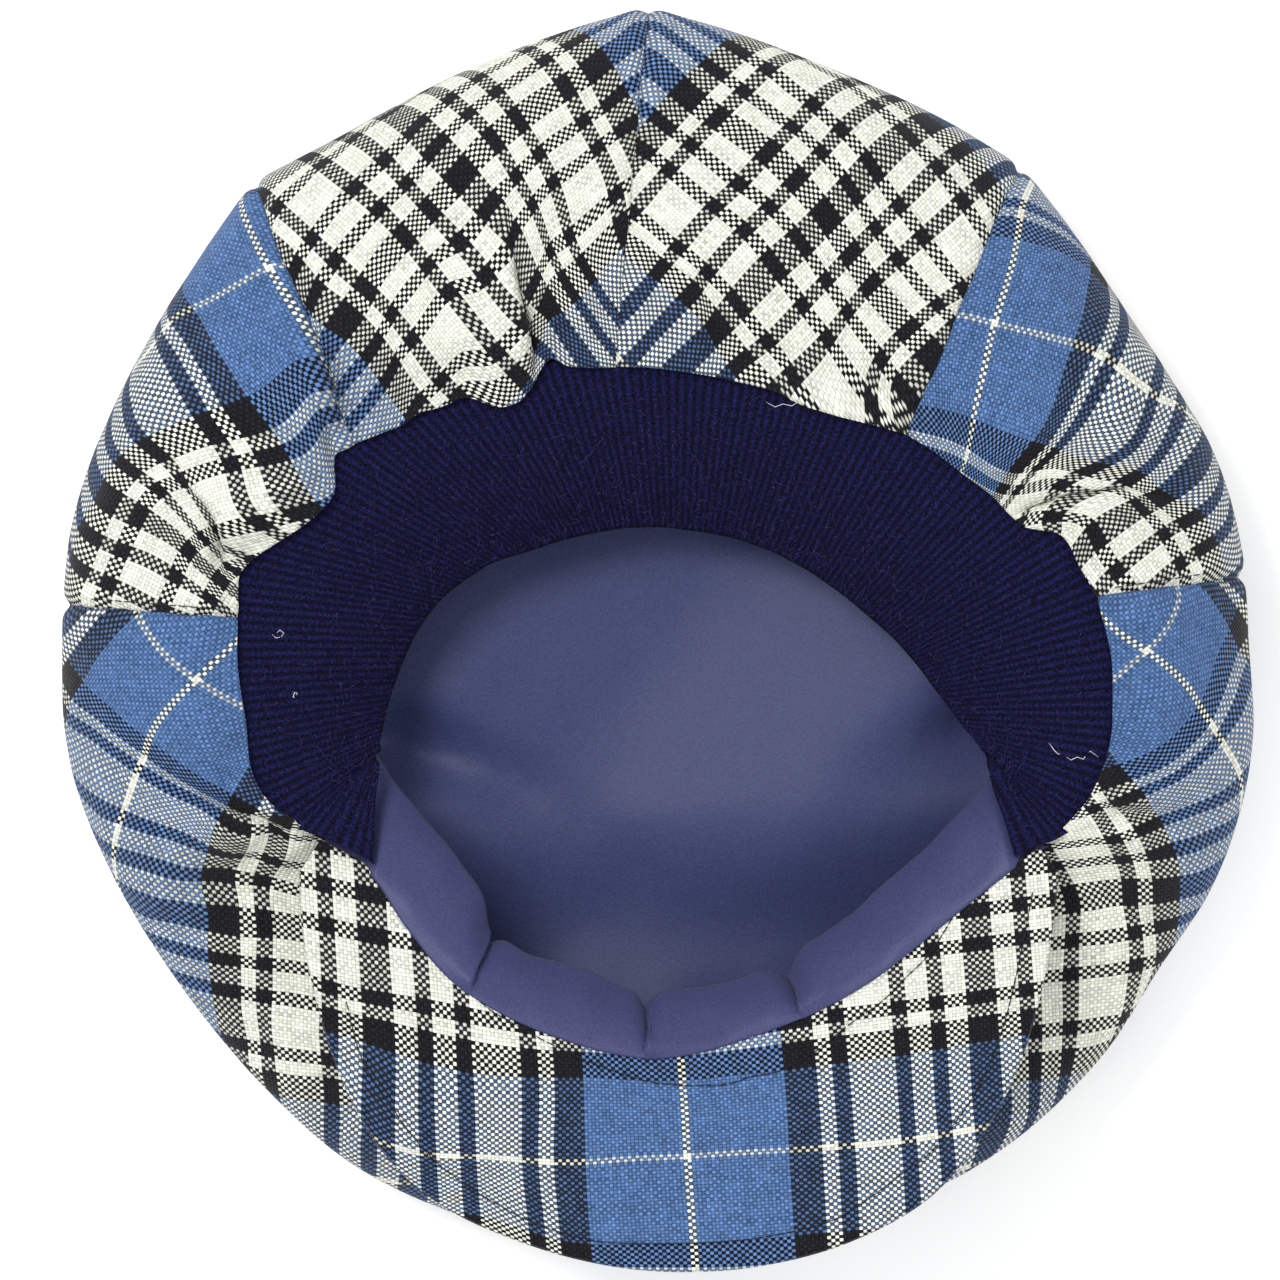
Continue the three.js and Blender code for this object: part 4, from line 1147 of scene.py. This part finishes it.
# Its free edge, in the same columns as the band's
SWEATBAND = [
    (211, -68.0, -22.0), (219, -60.5, -33.0), (227, -51.0, -44.5), (236, -43.0, -56.0),
    (246, -32.5, -71.5), (257, -15.0, -77.0), (269, -2.0, -82.0), (281, 14.0, -80.5),
    (293, 32.0, -73.5), (303, 45.0, -64.5), (313, 60.5, -51.0), (321, 70.5, -41.5),
    (328.6, 78.0, -32.5), (336, 85.0, -23.0),
]
# Tucks: angle, width in degrees, how far the free edge is drawn in, and the side that laps
TUCKS = [(241.5, 2.0, 5.0, -1), (269.5, 1.8, 5.0, 1), (292.0, 2.2, 6.0, 1)]
TUCK_LAP = 2.2
# Ends that run on under the knitted band, and how far they dive under it
LEFT_COVERED_TO = 221
RIGHT_COVERED_FROM = 326.6
COVERED_DIP = 5.0
angle, t = np.meshgrid(np.linspace(212, 335, 520), np.linspace(0, 1, 26))
pinch = sum(depth * np.exp(-(((angle - at) / width) ** 2)) for at, width, depth, _ in TUCKS)
covered = smooth((LEFT_COVERED_TO - angle) / 5) + smooth((angle - RIGHT_COVERED_FROM) / 5)
start = polar(angle, mouth_radius(angle) + 2.4, peak_seam_height(angle) + 1.3 - COVERED_DIP * covered)
points = hanging(angle, t, SWEATBAND, SWEATBAND_DROP, start, pinch)
normals = grid_normals(points)
lapped = np.zeros_like(angle)
for at, _, _, hand in TUCKS:
    beside = (angle - at) * hand + 1.1 * (1 - t)
    lapped += TUCK_LAP * smooth(beside / 0.5) * np.exp(-np.maximum(beside - 0.5, 0) / 4) * smooth(t * 4)
lapped += SWEATBAND_UNEVENNESS * ripple(points[..., 0], points[..., 1], 41) * smooth(t * 3)
points = points + normals * lapped[..., None]
sweatband = shell("sweatband_satin", points, grid_normals(points), SATIN)
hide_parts("satin_sweatband")
sweatband.data.materials.append(plain_cloth("folded_satin", BLUE_VIOLET, 0.42, 0.5, 0.25, 0.05, 0.2))

# Cloth under the peak
# Check on the straight grain, its white line down the middle, stretched over the board and
# sewn through it in two rows.
PEAK_UNDER = 1.1
# Threads of the peak's check, as on the front piece
PEAK_ACROSS = {
    -142.5: [(362.5, 1100), (364, 1050), (360, 960)],
    -128.5: [(396.5, 1100), (396.5, 1050), (390, 960)],
    -110.5: [(436, 1100), (430, 960)],
    -93: [(477.5, 1100), (474, 1050), (479, 1160)],
    -73: [(522, 1100), (520, 1050), (522.5, 1160), (529, 1220)],
    -59: [(556.5, 1100), (554, 1050), (560, 1220)],
    -45: [(584, 1100), (581.5, 1050), (586, 1160), (589, 1220)],
    0: [(684, 1100), (680, 1050), (687.5, 1160), (692, 1220)],
    45: [(786, 1100), (781.5, 1050), (789, 1160), (792.5, 1220)],
    59: [(818, 1100), (814, 1050), (825, 1220)],
    73: [(851, 1100), (846.5, 1050), (855, 1160)],
    93: [(896, 1100), (892.5, 1050), (900, 1160)],
    110.5: [(932.5, 1100), (930, 1050)],
    128.5: [(971, 1100)],
    142.5: [(1001.5, 1100)],
}
PEAK_ALONG = {
    93: [(350, 940)],
    73: [(350, 985)],
    65.5: [(350, 1000), (430, 1015), (480, 1026), (880, 1017)],
    59: [
        (350, 1012), (430, 1031), (555, 1050), (630, 1055),
        (730, 1050), (830, 1036), (930, 1022.5), (980, 1015),
    ],
    45: [(350, 1036), (430, 1062.5), (585, 1076.5), (680, 1080), (780, 1070), (880, 1057.5), (980, 1040)],
    0: [
        (380, 1138.5), (430, 1152.5), (530, 1158.5), (630, 1156.5),
        (730, 1151), (830, 1145), (930, 1134), (980, 1125),
    ],
    -45: [(480, 1212), (555, 1236), (630, 1241), (730, 1237.5), (830, 1228.5), (870, 1225)],
    -59: [(630, 1263)],
}


def peak_points(angle, t, depth):
    """Sheet between the peak's seam and its outer edge, straight across the plan and on the
    peak's rolled surface, sunk by depth."""
    seam = polar(angle, mouth_radius(angle) + EDGE_GAP, 0.0)
    x = mix(seam[..., 0], along([(a, x) for a, x, _ in PEAK])(angle), t)
    y = mix(seam[..., 1], along([(a, y) for a, _, y in PEAK])(angle), t)
    return np.stack([x, y, peak_height(x, y) - depth], -1)


def peak_threads(points, thickness):
    """Thread numbers of both skins of a peak cover, read straight down on each of them."""
    normal = grid_normals(points)
    skins = np.stack([points + normal * thickness / 2, points - normal * thickness / 2])
    threads = []
    for lines in (PEAK_ACROSS, PEAK_ALONG):
        knots, numbers = thread_places(lines)
        threads.append(spline(knots, numbers)(skins[..., :2]))
    return np.stack(threads, -1)


angle, t = np.meshgrid(np.linspace(211, 331.5, 240), np.linspace(0, 1, 60))
points = peak_points(angle, t, 0.0)
threads = peak_threads(points, PEAK_UNDER)
under_cover = shell("peak_under_cloth", points, grid_normals(points), PEAK_UNDER, threads)
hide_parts("peak_under_cover")
under_cover.data.materials.append(check)

# Two rows of black topstitching through the peak, read in the photograph's pixels
PEAK_ROWS = [
    [
        (395, 899), (405, 919), (427, 944), (459, 981), (489, 1008), (519, 1026), (547, 1041),
        (590, 1061), (643, 1079), (684, 1084), (726, 1083), (752, 1075), (778, 1070),
        (815, 1050), (848, 1024), (882, 1000), (906, 976), (928, 954), (946, 927), (955, 911),
    ],
    [
        (347, 1000), (363, 1057), (395, 1108), (425, 1147), (450, 1170), (476, 1188),
        (524, 1215), (558, 1228), (599, 1238), (638, 1240), (690, 1240), (760, 1234),
        (828, 1218), (862, 1199), (904, 1168), (924, 1154), (955, 1118), (977, 1084),
        (1000, 1030), (1013, 982), (1021, 945), (1032, 890),
    ],
]
rows = []
for places in PEAK_ROWS:
    flat = plan_of(places)
    walk = np.concatenate([[0], np.cumsum(np.linalg.norm(np.diff(flat, axis=0), axis=1))])
    at = np.linspace(0, walk[-1], 400)
    x, y = (along(list(zip(walk, flat[:, i])))(at) for i in (0, 1))
    line = np.stack([x, y, peak_height(x, y) + PEAK_UNDER / 2 + 0.3], -1)
    rows.append(stitches_along(line, STITCH_PITCH, STITCH_LENGTH))
peak_stitches = strands("peak_stitches", np.concatenate(rows), STITCH_RADIUS, black_thread)

# Top of the peak
# The same check over the board, a thicker sheet on the same outline as the cloth underneath.
PEAK_TOP = 2.2
SEAM_GAP = 0.36
points = peak_points(angle, t, (PEAK_UNDER + PEAK_TOP) / 2 + SEAM_GAP)
threads = peak_threads(points, PEAK_TOP)
top_cover = shell("peak_top_cloth", points, grid_normals(points), PEAK_TOP, threads)
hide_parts("peak_top_cover")
top_cover.data.materials.append(check)

# Floor and light
# A plain white sweep with large soft lamps, the strongest from the left.
bpy.ops.mesh.primitive_plane_add(size=6, location=(0, 0, -0.0002))
floor = bpy.context.object
floor.name = "floor"
white = bpy.data.materials.new("white_sweep")
white.use_nodes = True
sweep = white.node_tree.nodes["Principled BSDF"].inputs
sweep["Base Color"].default_value = (0.98, 0.98, 0.98, 1)
sweep["Roughness"].default_value = 0.9
sweep["Emission Color"].default_value = (1, 1, 1, 1)
sweep["Emission Strength"].default_value = 0.16
floor.data.materials.append(white)

world = bpy.data.worlds.new("studio")
bpy.context.scene.world = world
world.use_nodes = True
sky = world.node_tree.nodes["Background"].inputs
sky["Color"].default_value = (1, 1, 1, 1)
sky["Strength"].default_value = 0.9


def lamp(name, place, size, power):
    """Square lamp of the given size in metres, turned to face the cap."""
    data = bpy.data.lights.new(name, "AREA")
    data.size = size
    data.energy = power
    lamp_object = bpy.data.objects.new(name, data)
    bpy.context.scene.collection.objects.link(lamp_object)
    from_cap = np.array(place)
    lamp_object.location = place
    flat = np.hypot(from_cap[0], from_cap[1])
    turned = np.arctan2(from_cap[1], from_cap[0]) + np.pi / 2
    lamp_object.rotation_euler = (np.arctan2(flat, from_cap[2]), 0, turned)


lamp("key", (-0.75, 0.6, 1.95), 0.7, 31)
lamp("fill", (1.3, -0.9, 2.2), 1.4, 12)

# Camera
# Straight above the cap, far enough away that the height of the rim hardly shows.
CAMERA_HEIGHT = 5.0
FRAME_WIDTH = PIXELS * PIXEL * METRE
SENSOR_WIDTH = 36
FOCUS_HEIGHT = 0.055
camera_data = bpy.data.cameras.new("camera")
camera_data.sensor_width = SENSOR_WIDTH
camera_data.lens = SENSOR_WIDTH * (CAMERA_HEIGHT - FOCUS_HEIGHT) / FRAME_WIDTH
camera_data.clip_end = 10
camera = bpy.data.objects.new("camera", camera_data)
middle_x = (PIXELS / 2 - PIXEL_MIDDLE_X) * PIXEL - CENTRE[0]
camera.location = (middle_x * METRE, -CENTRE[1] * METRE, CAMERA_HEIGHT)
bpy.context.scene.collection.objects.link(camera)
bpy.context.scene.camera = camera
bpy.context.scene.view_settings.view_transform = "Standard"

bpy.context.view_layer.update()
